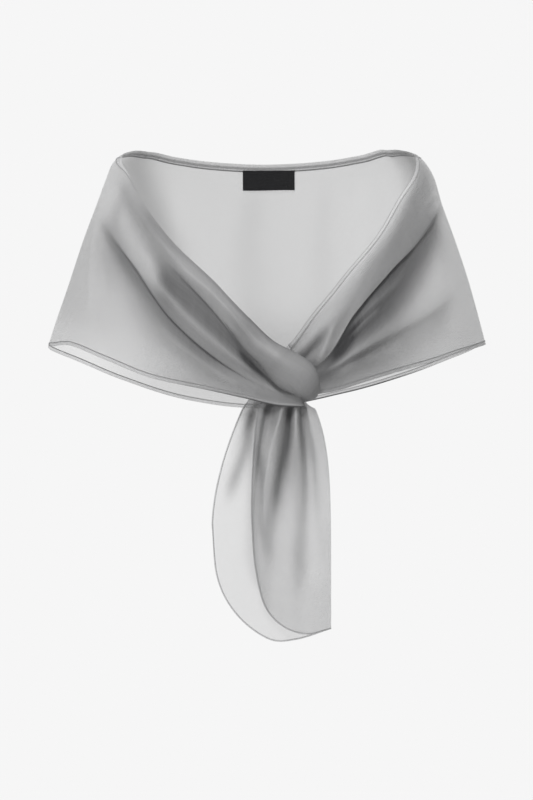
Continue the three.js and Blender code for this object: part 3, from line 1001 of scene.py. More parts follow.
@dataclass(frozen=True)
class Back:
    """The back stretch, from the left arm (along 0) to the right arm (along 1)."""

    EDGES = (
        Edge(-270, -3.8, -220.5),
        Edge(-255, 2, -224.5),
        Edge(-237, 5.6, -236.5),
        Edge(-220, -0.6, -255),
        Edge(-200, -7, -277),
        Edge(-180, -10, -294),
        Edge(-160, -7.8, -285.5),
        Edge(-140, -2.6, -262),
        Edge(-122, 3.2, -241.5),
        Edge(-108, 3, -231),
        Edge(-90, -2, -223),
    )
    # Hanging waves: centre and half width in degrees, and how far each stands out at the hem.
    WAVES = (
        (-106, 9, 4),
        (-128, 10, -5),
        (-152, 9, 5),
        (-171, 8, -5),
        (-189, 8, 5),
        (-211, 10, -5),
        (-236, 11, 5),
        (-256, 8, -4),
    )
    # Troughs and ridges with painted shade and highlights, painted shadows by both shoulders,
    # and a wide painted shadow low in the middle below the fronts.
    CREASES = (
        Crease(
            ((0.475, 0.02, 12), (0.465, 0.3, 17), (0.47, 0.55, 20), (0.48, 1.0, 22)),
            rise=-2.0, shade=0.05,
        ),
        Crease(((0.53, 0.0, 12), (0.54, 0.4, 17), (0.53, 1.0, 20)), rise=1.6),
        Crease(((0.3, 0.0, 12), (0.34, 0.4, 18), (0.37, 1.0, 20)), rise=2.0, shade=-0.03),
        Crease(((0.7, 0.0, 12), (0.67, 0.35, 17), (0.64, 1.0, 20)), rise=2.2, shade=-0.03),
        Crease(((0.15, -0.15, 20), (0.17, 0.1, 24), (0.19, 0.35, 24), (0.2, 1.0, 20)), rise=-2.2),
        Crease(
            ((0.08, -0.3, 30), (0.13, 0.0, 32), (0.2, 0.13, 30), (0.255, 0.25, 26), (0.32, 0.4, 20),
             (0.36, 0.55, 14)),
            rise=0, shade=0.2,
        ),
        Crease(((0.85, -0.15, 12), (0.81, 0.35, 16), (0.79, 1.0, 18)), rise=-2.2, shade=0.04),
        Crease(((0.9, -0.35, 36), (0.9, 0.0, 36), (0.88, 0.25, 28), (0.85, 0.5, 20)), 0, 0.3),
        Crease(((0.62, 0.0, 8), (0.59, 0.5, 13), (0.585, 1.0, 16)), rise=-1.2, shade=0.03),
        Crease(((0.41, 0.1, 8), (0.425, 0.6, 13), (0.43, 1.1, 15)), rise=1.2),
        Crease(((0.4, 0.78, 34), (0.5, 0.78, 40), (0.6, 0.78, 34)), rise=0.0, shade=0.14),
    )
    # Flat size, and how much lighter the slack hem by the left arm is painted.
    LENGTH = 570.0
    HEIGHT = 270.0
    SLACK_PAINTED_LIGHT = 0.45

    hollow: Hollow

    @cached_property
    def top(self) -> Curve:
        """The neck edge's height round the hollow."""
        return column_curve(self.EDGES, "angle", "top")

    @cached_property
    def hem(self) -> Curve:
        """The hem's height round the hollow."""
        return column_curve(self.EDGES, "angle", "hem")

    def flat(self, along: Array, place: Array) -> Array:
        """Returns places on the flat cloth in millimetres."""
        along, place = np.broadcast_arrays(along, place)
        return np.stack([along * self.LENGTH, place * self.HEIGHT], axis=-1)

    def tones(self, along: Array, place: Array) -> Array:
        """Gives cover and painted shade: more in the creases, painted lighter and sheerer at the
        slack hem.

        Args:
            along: places from the left arm to the right arm.
            place: places from the neck edge to the hem.

        Returns:
            Cover and shade, each from 0 to 1.
        """
        bunch_and_painted_shade = crease_shade(self.CREASES, self.flat, along, place)
        # Painted light: the slack hem by the left arm is made lighter and sheerer.
        slack = smooth(place, 0.75, 0.95) * (1 - smooth(along, 0.2, 0.4))
        shade = Organza.PLAIN - self.SLACK_PAINTED_LIGHT * slack + bunch_and_painted_shade
        cover = Organza.SHEER * (1 - slack) + np.maximum(bunch_and_painted_shade, 0)
        return np.clip(np.stack([cover, shade], axis=-1), 0, 1)

    def points(self, along: Array, place: Array) -> Array:
        """Gives points of the back: a height between neck edge and hem on the hollow, pushed out
        by bells round the waves, which grow towards the hem, and by the creases.

        Args:
            along: places from the left arm to the right arm.
            place: places from the neck edge to the hem.

        Returns:
            Points in millimetres.
        """
        angle = mix(-90, -270, along)
        z = mix(self.top(angle), self.hem(angle), place)
        rise = np.zeros_like(z)
        for centre, width, height in self.WAVES:
            bell = np.exp(-(((angle - centre) / width) ** 2))
            rise = rise + height * bell * smooth(place, 0, 1)
        rise = rise + crease_rise(self.CREASES, self.flat, along, place)
        return self.hollow.point(angle, z) + self.hollow.normal(angle, z) * rise[..., None]

    def inner(self, x: Array, z: Array, inset: float) -> Array:
        """Gives points just inside the back.

        Args:
            x: places to the side.
            z: heights.
            inset: how far inside the cloth's middle they lie.

        Returns:
            Points in millimetres.
        """
        side = np.where(x < 0, self.hollow.left(z), self.hollow.right(z))
        angle = -180 - np.degrees(np.arcsin(x / side))
        top = self.top(angle)
        place = (z - top) / (self.hem(angle) - top)
        points = self.points((-90 - angle) / 180, place)
        return points - self.hollow.normal(angle, z) * inset


@dataclass(frozen=True)
class Rib:
    """The two ends of a line across the loop, with depths in front of the shoulder line, and
    the crown by which it bows out between them."""

    up_x: float
    up_z: float
    up_depth: float
    low_x: float
    low_z: float
    low_depth: float
    crown: float


@dataclass(frozen=True)
class Loop:
    """The loop at the strip's left end: it rises off the left stretch and turns round the knot.

    Attributes:
        left: the stretch that it grows out of.
        from_along: where along that stretch it starts.
        start: place along the stretch under the first rib.
        step: how far along the next rib lies.
        slant: how much further along the upper edge lies than the middle.
        lift: how far the loop lies off the stretch beside the first ribs.
        free: the ribs between which it leaves the stretch.
        fullness: power of the crown, less than 1 for round edges.
        ridge: place across the loop, and half width, of the painted highlight along its ridge.
        shades: painted shade of the edges, painted highlight of the ridge, and painted shade of the
            turn.
    """

    RIBS = (
        Rib(-27, -188, 146, -39, -212, 148, 1),
        Rib(-12, -204, 150, -27, -227, 155, 4),
        Rib(6, -219, 153, -13, -241, 158, 7),
        Rib(23, -228, 155, -1, -256, 158, 10),
        Rib(40, -237, 154, 12, -270, 159, 12),
        Rib(52, -247, 152, 27, -278, 159, 12),
        Rib(58, -260, 151, 38, -283, 158, 9),
        Rib(58, -272, 149, 44, -286, 154, 5),
        Rib(56, -281, 142, 46, -286, 144, 1),
        Rib(57, -272, 128, 44, -283, 130, 1),
        Rib(52, -250, 123, 30, -266, 123, 2),
        Rib(38, -232, 123, 14, -250, 123, 2),
    )

    left: Front
    from_along: float = 0.8
    start: float = 0.843
    step: float = 0.0365
    slant: float = 0.02
    lift: float = 2.3
    free: tuple[float, float] = (0.6, 3)
    fullness: float = 0.8
    ridge: tuple[float, float] = (0.62, 0.14)
    shades: tuple[float, float, float] = (0.13, -0.06, 0.08)

    @property
    def first(self) -> float:
        """The rib number at the loop's start, less than 0."""
        return (self.from_along - self.start) / self.step

    @cached_property
    def curves(self) -> dict[str, Curve]:
        """Curves of the ribs' columns along the rib numbers."""
        names = ("up_x", "up_z", "up_depth", "low_x", "low_z", "low_depth", "crown")
        numbers = range(len(self.RIBS))
        return {n: Curve(numbers, [getattr(rib, n) for rib in self.RIBS]) for n in names}

    def slit(self, along: Array) -> Array:
        """Returns the place of the loop's lower edge on the left stretch."""
        fold = self.left.pleats[0]
        return fold.place(along) - fold.spread

    def rib_ends(self, rib: Array) -> tuple[Array, Array]:
        """Returns the upper and lower ends of the ribs."""
        c = self.curves
        up = np.stack([c["up_x"](rib), -c["up_depth"](rib), c["up_z"](rib)], axis=-1)
        low = np.stack([c["low_x"](rib), -c["low_depth"](rib), c["low_z"](rib)], axis=-1)
        return up, low

    def band(self, rib: Array, across: Array) -> Array:
        """Gives points of the free loop: along the rib from its lower end, bowed out by its
        crown times a rounded arch across it.

        Args:
            rib: rib numbers.
            across: places from the lower edge (0) to the upper.

        Returns:
            Points in millimetres.
        """
        rib = np.maximum(rib, 0)
        up, low = self.rib_ends(rib)
        path = sum(self.rib_ends(rib + 0.2)) - sum(self.rib_ends(rib - 0.2))
        outward = unit(np.cross(path, up - low))
        arch = np.clip(4 * across * (1 - across), 0, 1) ** self.fullness
        bow = self.curves["crown"](rib) * arch
        return mix(low, up, across[..., None]) + outward * bow[..., None]

    def seat(self, rib: Array, across: Array) -> Array:
        """Gives points just off the left stretch, which the loop leaves.

        Args:
            rib: rib numbers.
            across: places from the lower edge (0) to the upper.

        Returns:
            Points in millimetres.
        """
        grown = smooth(rib, self.first, self.free[0])
        rib = np.minimum(rib, self.free[1])
        along = self.start + self.step * rib + self.slant * grown * (2 * across - 1)
        along = np.minimum(along, 1)
        place = self.slit(along) * (1 - across)
        here = self.left.points(along, place)
        ahead = self.left.points(along + 0.002, place) - self.left.points(along - 0.002, place)
        down = self.left.points(along, place + 0.01) - self.left.points(along, place - 0.01)
        return here + unit(np.cross(down, ahead)) * (self.lift * grown)[..., None]

    def shade(self, rib: Array, across: Array) -> Array:
        """Returns the loop's painted shade: more towards its edges, by the sixth power of the
        distance, and where it turns to the back, and a painted highlight in a bell along its ridge."""
        middle, width = self.ridge
        edges = np.abs(2 * across - 1) ** 6
        ridge = np.exp(-(((across - middle) / width) ** 2)) * smooth(rib, -1, 1)
        ridge = ridge * (1 - smooth(rib, 2.5, 5))
        parts = (edges, ridge, smooth(rib, 5, 6.5))
        return sum(shade * part for shade, part in zip(self.shades, parts))

    def points(self, rib: Array, across: Array) -> Array:
        """Returns points of the loop: the seat on the left stretch turning into the free band."""
        share = smooth(rib, *self.free)[..., None]
        return mix(self.seat(rib, across), self.band(rib, across), share)


# Hems and stitches


@dataclass(frozen=True)
class Rim:
    """An edge of a sheet with its directions.

    Attributes:
        path: points of the edge.
        normal: directions off the cloth.
        into: directions into the cloth.
    """

    path: Array
    normal: Array
    into: Array

    @staticmethod
    def of(path: Array, normal: Array, inner: Array) -> Rim:
        """Finds the directions of an edge: into the cloth is square to edge and normal.

        Args:
            path: points of the edge.
            normal: directions off the cloth.
            inner: points of the cloth beside the edge.

        Returns:
            The rim.
        """
        ahead = unit(np.gradient(path, axis=0))
        into = unit(np.cross(normal, ahead))
        turn = np.sign(np.sum(into * (inner - path), axis=-1, keepdims=True))
        return Rim(path, normal, into * np.where(turn == 0, 1, turn))

    def part(self, first: int, last: int) -> Rim:
        """Returns the stretch of the rim from one point to another."""
        return Rim(self.path[first:last], self.normal[first:last], self.into[first:last])

    def line(self, inset: float, off: float) -> Array:
        """Returns the line that far inside the edge and that far off the cloth."""
        return self.path + self.into * inset + self.normal * off


@dataclass(frozen=True)
class Hem:
    """A narrow turned hem along an edge: a flat tube of doubled cloth round it.

    Attributes:
        width: how far it reaches into the cloth.
        thickness: of the folded cloth.
        bands: (place, cover, shade) from its outer side (-1) to its sewn side (1).
        narrow: the same where it is narrow or turned.
        half: points on each face of the tube, from side to side.
    """

    # How far in the stitches lie, as a share of the width, and off it, of the thickness.
    SEAM = (0.8, 0.4)

    width: float = 4.6
    thickness: float = 1.0
    bands: tuple[tuple[float, float, float], ...] = (
        (-1, 0.25, 0.5),
        (-0.6, 0.0, 0.3),
        (0.5, 0.0, 0.3),
        (0.72, 0.7, 0.86),
        (1, 0.7, 0.86),
    )
    narrow: tuple[tuple[float, float, float], ...] = (
        (-1, 0.4, 0.75),
        (-0.8, 0.35, 0.7),
        (-0.55, 0.0, 0.26),
        (0.5, 0.0, 0.26),
        (0.75, 0.2, 0.5),
        (1, 0.1, 0.4),
    )
    half: int = 13

    def surface(self, rim: Rim, taper: Array, wide: Array) -> Surface:
        """Carries the tube's outline along an edge: a flat oval, whose half thickness is the
        root of 1 less the fourth power of the place across it.

        Args:
            rim: the edge.
            taper: share of the width at each point.
            wide: which tones it shows at each point, from 0 for narrow to 1 for bands.

        Returns:
            The closed tube.
        """
        place = np.linspace(1, -1, self.half)
        across = np.concatenate([place, place[-2:0:-1]])
        off = np.sqrt(1 - across**4) * np.where(np.arange(len(across)) < self.half, 1, -1)
        reach = self.width * taper[:, None] * (across + 0.9) / 2
        rise = self.thickness * mix(0.6, 1, taper)[:, None] * off / 2
        points = rim.path[:, None] + rim.into[:, None] * reach[..., None]
        points = points + rim.normal[:, None] * rise[..., None]
        quads = tube_quads(len(points), len(across))
        length = arc_lengths(rim.path[None], 1)[0]
        uv = np.stack(np.broadcast_arrays(length[:, None], reach), axis=-1).reshape(-1, 2) * MM
        narrow, bands = (
            np.stack([np.interp(across, at, values) for values in tones], axis=-1)
            for at, *tones in (zip(*self.narrow), zip(*self.bands))
        )
        tones = mix(narrow, bands, wide[:, None, None]).reshape(-1, 2)
        return Surface(points.reshape(-1, 3), quads, uv, tones)

    def seams(self, rim: Rim, stitches: Stitches, taper: Array | float = 1) -> list[Surface]:
        """Sets rows of stitches along its sewn side.

        Args:
            rim: the edge.
            stitches: the kind of stitch.
            taper: share of the width at each point.

        Returns:
            One row for each face of the cloth.
        """
        inset = self.width * taper * self.SEAM[0]
        rows = []
        for side in (-1, 1):
            line = rim.line(inset, side * self.thickness * self.SEAM[1])
            rows.append(stitches.surface(line, rim.normal * side))
        return rows


@dataclass(frozen=True)
class Stitches:
    """A row of straight stitches.

    Attributes:
        length: of one stitch.
        gap: between two.
        radius: of the thread.
        sides: of the thread.
    """

    # Along a stitch: its share of the length, and girth and height in thread radii.
    SHARE = (0, 0.12, 0.5, 0.88, 1)
    GIRTH = (0.25, 0.9, 1, 0.9, 0.25)
    HEIGHT = (-0.6, 0.3, 0.6, 0.3, -0.6)

    length: float = 2.3
    gap: float = 0.9
    radius: float = 0.22
    sides: int = 6

    def surface(self, path: Array, normal: Array) -> Surface:
        """Sets stitches along a line, each a short rounded thread from point to point.

        Args:
            path: points of the line on the cloth's face.
            normal: directions off that face.

        Returns:
            All the stitches as one surface.
        """
        length = arc_lengths(path[None], 1)[0]
        pitch = self.length + self.gap
        starts = np.arange(0.5 * pitch, length[-1] - pitch, pitch)
        first = self.along(path, length, starts)
        last = self.along(path, length, starts + self.length)
        off = unit(self.along(normal, length, starts))
        side = unit(np.cross(off, last - first))
        share = np.array(self.SHARE)
        girth = self.radius * np.array(self.GIRTH)
        height = self.radius * np.array(self.HEIGHT)
        turn = np.arange(self.sides) * 2 * np.pi / self.sides
        middle = mix(first[:, None], last[:, None], share[None, :, None])
        middle = middle + off[:, None] * height[None, :, None]
        ring = (
            side[:, None, None] * np.cos(turn)[None, None, :, None]
            + off[:, None, None] * np.sin(turn)[None, None, :, None]
        )
        points = middle[:, :, None] + ring * girth[None, :, None, None]
        quads = tube_quads(len(share), self.sides)
        each = len(share) * self.sides
        quads = (quads[None] + each * np.arange(len(starts))[:, None, None]).reshape(-1, 4)
        down = np.broadcast_to((share * self.length)[None, :, None], points.shape[:3])
        uv = np.stack([down, down], axis=-1).reshape(-1, 2) * MM
        return Surface(points.reshape(-1, 3), quads, uv, np.zeros((len(uv), 2)))

    @staticmethod
    def along(values: Array, length: Array, at: Array) -> Array:
        """Returns values, given along a line, at other distances along it."""
        return np.stack([np.interp(at, length, column) for column in values.T], axis=-1)


# Pieces


def crowded(share: Array, crowding: float = 0.7) -> Array:
    """Returns shares from 0 to 1 moved towards both ends by a sine wave of that strength."""
    return share - crowding * np.sin(2 * np.pi * share) / (2 * np.pi)


def band_rows(marks: Sequence[Array], counts: Sequence[int]) -> Array:
    """Spaces rows between marked lines, closer together beside the lines.

    Args:
        marks: place of each line at every column, from the neck edge to the hem.
        counts: rows from each line to the next.

    Returns:
        The rows' places, one row of numbers for each.
    """
    rows = []
    for low, high, count in zip(marks[:-1], marks[1:], counts):
        rows.append(mix(low, high, crowded(np.arange(count)[:, None] / count)))
    return np.concatenate([*rows, marks[-1][None]])


@dataclass
class Wrap:
    """The strip round arms and back, with the loop that its left end turns into.

    Attributes:
        flat: width and length of the cut.
        area: flat area of the cut in square metres.
        thickness: of the cloth.
        left_columns: columns of the left stretch.
        back_columns: columns of the back.
        right_columns: columns of the right stretch.
        loop_columns: columns of the loop.
        left_rows: rows from neck edge to loop's edge, second fold and hem.
        right_rows: rows from neck edge past the three folds to the hem.
        loop_tones: cover and painted shade of the loop where it starts and where it is free.
        hem: of the lower edge, with the tones where it is turned.
        neck_hem: of the neck edge, with the tones where it lies open.
        stitches: of both hems.
    """

    # Share of the left stretch, from the knot, along which the rolled edge hides the neck hem.
    HIDDEN = 0.62
    # Columns, from the ends of the back, between which the neck hem opens and closes again.
    OPENS = (-45, 5)
    CLOSES = (-25, 15)
    # The neck hem's share of its width on the fronts and where it comes out of the roll.
    FRONT_WIDTH = 0.5
    LEAST_WIDTH = 0.3
    # Columns between which the lower hem loses its turned tones beside the left knot, and
    # shares of the back between which it takes them and loses them again.
    TURNED_END = (10, 50)
    TURNS = (0.45, 0.56)
    TURNS_BACK = (0.66, 0.78)

    flat: tuple[float, float] = (0.29, 1.36)
    area: float = 0.3
    thickness: float = 0.45
    left_columns: int = 131
    back_columns: int = 141
    right_columns: int = 121
    loop_columns: int = 110
    left_rows: tuple[int, ...] = (28, 30, 30)
    right_rows: tuple[int, ...] = (14, 26, 30, 18)
    loop_tones: tuple[tuple[float, float], ...] = ((0.95, 0.77), (0.97, 0.68))
    hem: Hem = Hem(
        narrow=(
            (-1, 0.85, 0.95),
            (-0.45, 0.75, 0.9),
            (-0.2, 0.05, 0.35),
            (0.5, 0.05, 0.35),
            (0.8, 0.5, 0.75),
            (1, 0.4, 0.6),
        ),
    )
    neck_hem: Hem = Hem(
        width=10.2,
        thickness=1.3,
        # A painted highlight at the outer edge and a thin painted highlight line near the sewn
        # side,
        # with darker bands between them and at the sewn side.
        bands=(
            (-1, 0.2, 0.4),
            (-0.8, 0.05, 0.28),
            (-0.35, 0.05, 0.28),
            (-0.15, 0.4, 0.74),
            (0.38, 0.4, 0.74),
            (0.48, 0.0, 0.1),
            (0.62, 0.0, 0.1),
            (0.74, 0.6, 0.86),
            (1, 0.6, 0.86),
        ),
        half=25,
    )
    stitches: Stitches = Stitches()

    def __post_init__(self) -> None:
        """Sets up the stretches over the hollow."""
        hollow = Hollow()
        self.left = Front(
            hollow, LEFT_EDGES, LEFT_PLEATS, LEFT_CREASES, arm=-90, ends=(6.6, 8.8),
            length=330, roll=(16, 7), sink=0, lift=4, collar=(0.5, 0.16), painted_light=0.12,
        )
        self.right = Front(
            hollow, RIGHT_EDGES, RIGHT_PLEATS, RIGHT_CREASES, arm=90, ends=(5.5, 9.5),
            length=300, roll=(9, 3), sink=9, lift=0, collar=(0.35, 0.1), painted_light=0.06,
        )
        self.back = Back(hollow)
        self.loop = Loop(self.left)

    def strip(self) -> tuple[Array, Array]:
        """Works out the whole strip from the left knot round the back to the right knot.

        Returns:
            Its grid of points, and cover and shade at each.
        """
        left_along = np.linspace(1, 0, self.left_columns)
        right_along = np.linspace(0, 1, self.right_columns)
        back_along = np.linspace(0, 1, self.back_columns)[1:-1]
        ones = np.ones_like(left_along)
        folds = [self.loop.slit(left_along), self.left.pleats[1].place(left_along)]
        left_rows = band_rows([0 * ones, *folds, ones], self.left_rows)
        ones = np.ones_like(right_along)
        folds = [pleat.place(right_along) for pleat in self.right.pleats]
        right_rows = band_rows([0 * ones, *folds, ones], self.right_rows)
        back_rows = mix(left_rows[:, -1:], right_rows[:, :1], back_along[None])
        points = np.concatenate(
            [
                self.left.points(left_along[None], left_rows),
                self.back.points(back_along[None], back_rows),
                self.right.points(right_along[None], right_rows),
            ],
            axis=1,
        )
        tones = np.concatenate(
            [
                self.left.tones(left_along[None], left_rows),
                self.back.tones(back_along[None], back_rows),
                self.right.tones(right_along[None], right_rows),
            ],
            axis=1,
        )
        return points, tones

    def sheet(self, points: Array, tones: Array) -> Surface:
        """Joins strip and loop: above the slit the left stretch stops where the loop goes on.

        Args:
            points: the strip's grid.
            tones: its cover and shade.

        Returns:
            The whole sheet.
        """
        rows, columns = points.shape[:2]
        slit = self.left_rows[0]
        cut = round((1 - self.loop.from_along) * (self.left_columns - 1))
        index = grid_index(rows, columns)
        along = arc_lengths(points, 1).mean(axis=0)
        down = arc_lengths(points, 0)
        uv = np.stack([np.broadcast_to(along, down.shape), down], axis=-1)
        rib = np.linspace(len(Loop.RIBS) - 1, self.loop.first, self.loop_columns)[None, :-1]
        across = crowded(1 - np.linspace(0, 1, slit + 1))
        rib, across = np.broadcast_arrays(rib, across[:, None])
        loop = self.loop.points(rib, across)
        loop_index = grid_index(slit + 1, self.loop_columns - 1, first=rows * columns)
        whole = np.concatenate([loop, points[: slit + 1, cut : cut + 1]], axis=1)
        loop_along = arc_lengths(whole, 1).mean(axis=0)
        loop_along = (loop_along - loop_along[-1] + along[cut])[:-1]
        loop_down = arc_lengths(loop, 0)
        loop_uv = np.stack([np.broadcast_to(loop_along, loop_down.shape), loop_down], axis=-1)
        root, tip = np.array(self.loop_tones)
        share = smooth(rib, self.loop.first, self.loop.free[0])[..., None]
        tip = mix(root, tip, smooth(rib, 2, 4.5)[..., None])
        # Painted shade on the loop's edges and turn, and a painted highlight along its ridge.
        tip[..., 1] += self.loop.shade(rib, across)
        loop_tones = mix(tones[: slit + 1, cut : cut + 1], tip, share)
        joined = np.concatenate([loop_index, index[: slit + 1, cut : cut + 1]], axis=1)
        quads = [
            grid_quads(index[: slit + 1, cut:]),
            grid_quads(index[slit:]),
            grid_quads(joined),
        ]
        return Surface(
            np.concatenate([points.reshape(-1, 3), loop.reshape(-1, 3)]),
            np.concatenate(quads),
            np.concatenate([uv.reshape(-1, 2), loop_uv.reshape(-1, 2)]) * MM,
            np.concatenate([tones.reshape(-1, 2), loop_tones.reshape(-1, 2)]),
        ).used()

    def build(self, cloth: bpy.types.Material, thread: bpy.types.Material) -> bpy.types.Object:
        """Makes the strip with its two hems and their stitches.

        Args:
            cloth: the finish of the cloth.
            thread: the finish of the stitches.

        Returns:
            The strip's object.
        """
        points, tones = self.strip()
        piece = self.sheet(points, tones).make("wrap", cloth)
        thicken(piece, self.thickness)
        normals = grid_normals(points)
        neck = Rim.of(points[0], normals[0], points[1])
        lower = Rim.of(points[-1], normals[-1], points[-2])
        hems = [self.make_neck_hem(neck, cloth), self.make_lower_hem(lower, cloth)]
        seams = self.make_stitches(neck, lower, thread)
        report_piece(piece, Slot.ORGANZA, ("back", "left_front", "right_front", "loop"))
        for trim in (*hems, seams):
            report_piece(trim, Slot.ORGANZA)
        return piece

    @property
    def left_shown(self) -> int:
        """Number of the column where the neck hem comes out of the rolled edge."""
        return round(self.HIDDEN * (self.left_columns - 1))

    def neck_open(self, count: int) -> Array:
        """Returns how far the neck hem lies open: 1 at the back and 0 on the fronts."""
        column = np.arange(count)
        right_start = self.left_columns + self.back_columns - 2
        left = smooth(column - self.left_columns, *self.OPENS)
        right = 1 - smooth(column - right_start, *self.CLOSES)
        return np.minimum(left, right)

    def make_neck_hem(self, rim: Rim, cloth: bpy.types.Material) -> bpy.types.Object:
        """Makes the hem along the neck edge, from the left roll to the right knot."""
        first = self.left_shown
        part = rim.part(first, len(rim.path))
        taper = self.neck_width(len(rim.path))[first:]
        wide = self.neck_open(len(rim.path))[first:]
        return self.neck_hem.surface(part, taper, wide).make("neck_hem", cloth)

    def neck_width(self, count: int) -> Array:
        """Returns the neck hem's share of its width, least where it comes out of the roll."""
        opened = mix(self.FRONT_WIDTH, 1, self.neck_open(count))
        shown = smooth(np.arange(count) - self.left_shown, 0, 25)
        return opened * mix(self.LEAST_WIDTH, 1, shown)

    def make_lower_hem(self, rim: Rim, cloth: bpy.types.Material) -> bpy.types.Object:
        """Makes the hem along the lower edge, with the tones of a turned hem by the knot and behind
        it.
        """
        column = np.arange(len(rim.path))
        back = (column - self.left_columns) / self.back_columns
        turned = smooth(back, *self.TURNS) * (1 - smooth(back, *self.TURNS_BACK))
        turned = np.maximum(turned, 1 - smooth(column, *self.TURNED_END))
        return self.hem.surface(rim, np.ones(len(column)), 1 - turned).make("lower_hem", cloth)

    def make_stitches(
        self, neck: Rim, lower: Rim, thread: bpy.types.Material
    ) -> bpy.types.Object:
        """Makes the stitch rows at the inner side of both hems, on both faces of the cloth."""
        first = self.left_shown
        part = neck.part(first, len(neck.path))
        taper = self.neck_width(len(neck.path))[first:, None]
        rows = self.neck_hem.seams(part, self.stitches, taper)
        rows += self.hem.seams(lower, self.stitches)
        return Surface.joined(rows).make("hem_stitches", thread)


@dataclass(frozen=True)
class Fall:
    """A line of cloth down the tail: from its place in the neck under the knot to the round
    end, and how early it reaches its full width."""

    share: float
    neck_x: float
    x: float
    z: float
    spread_out: float


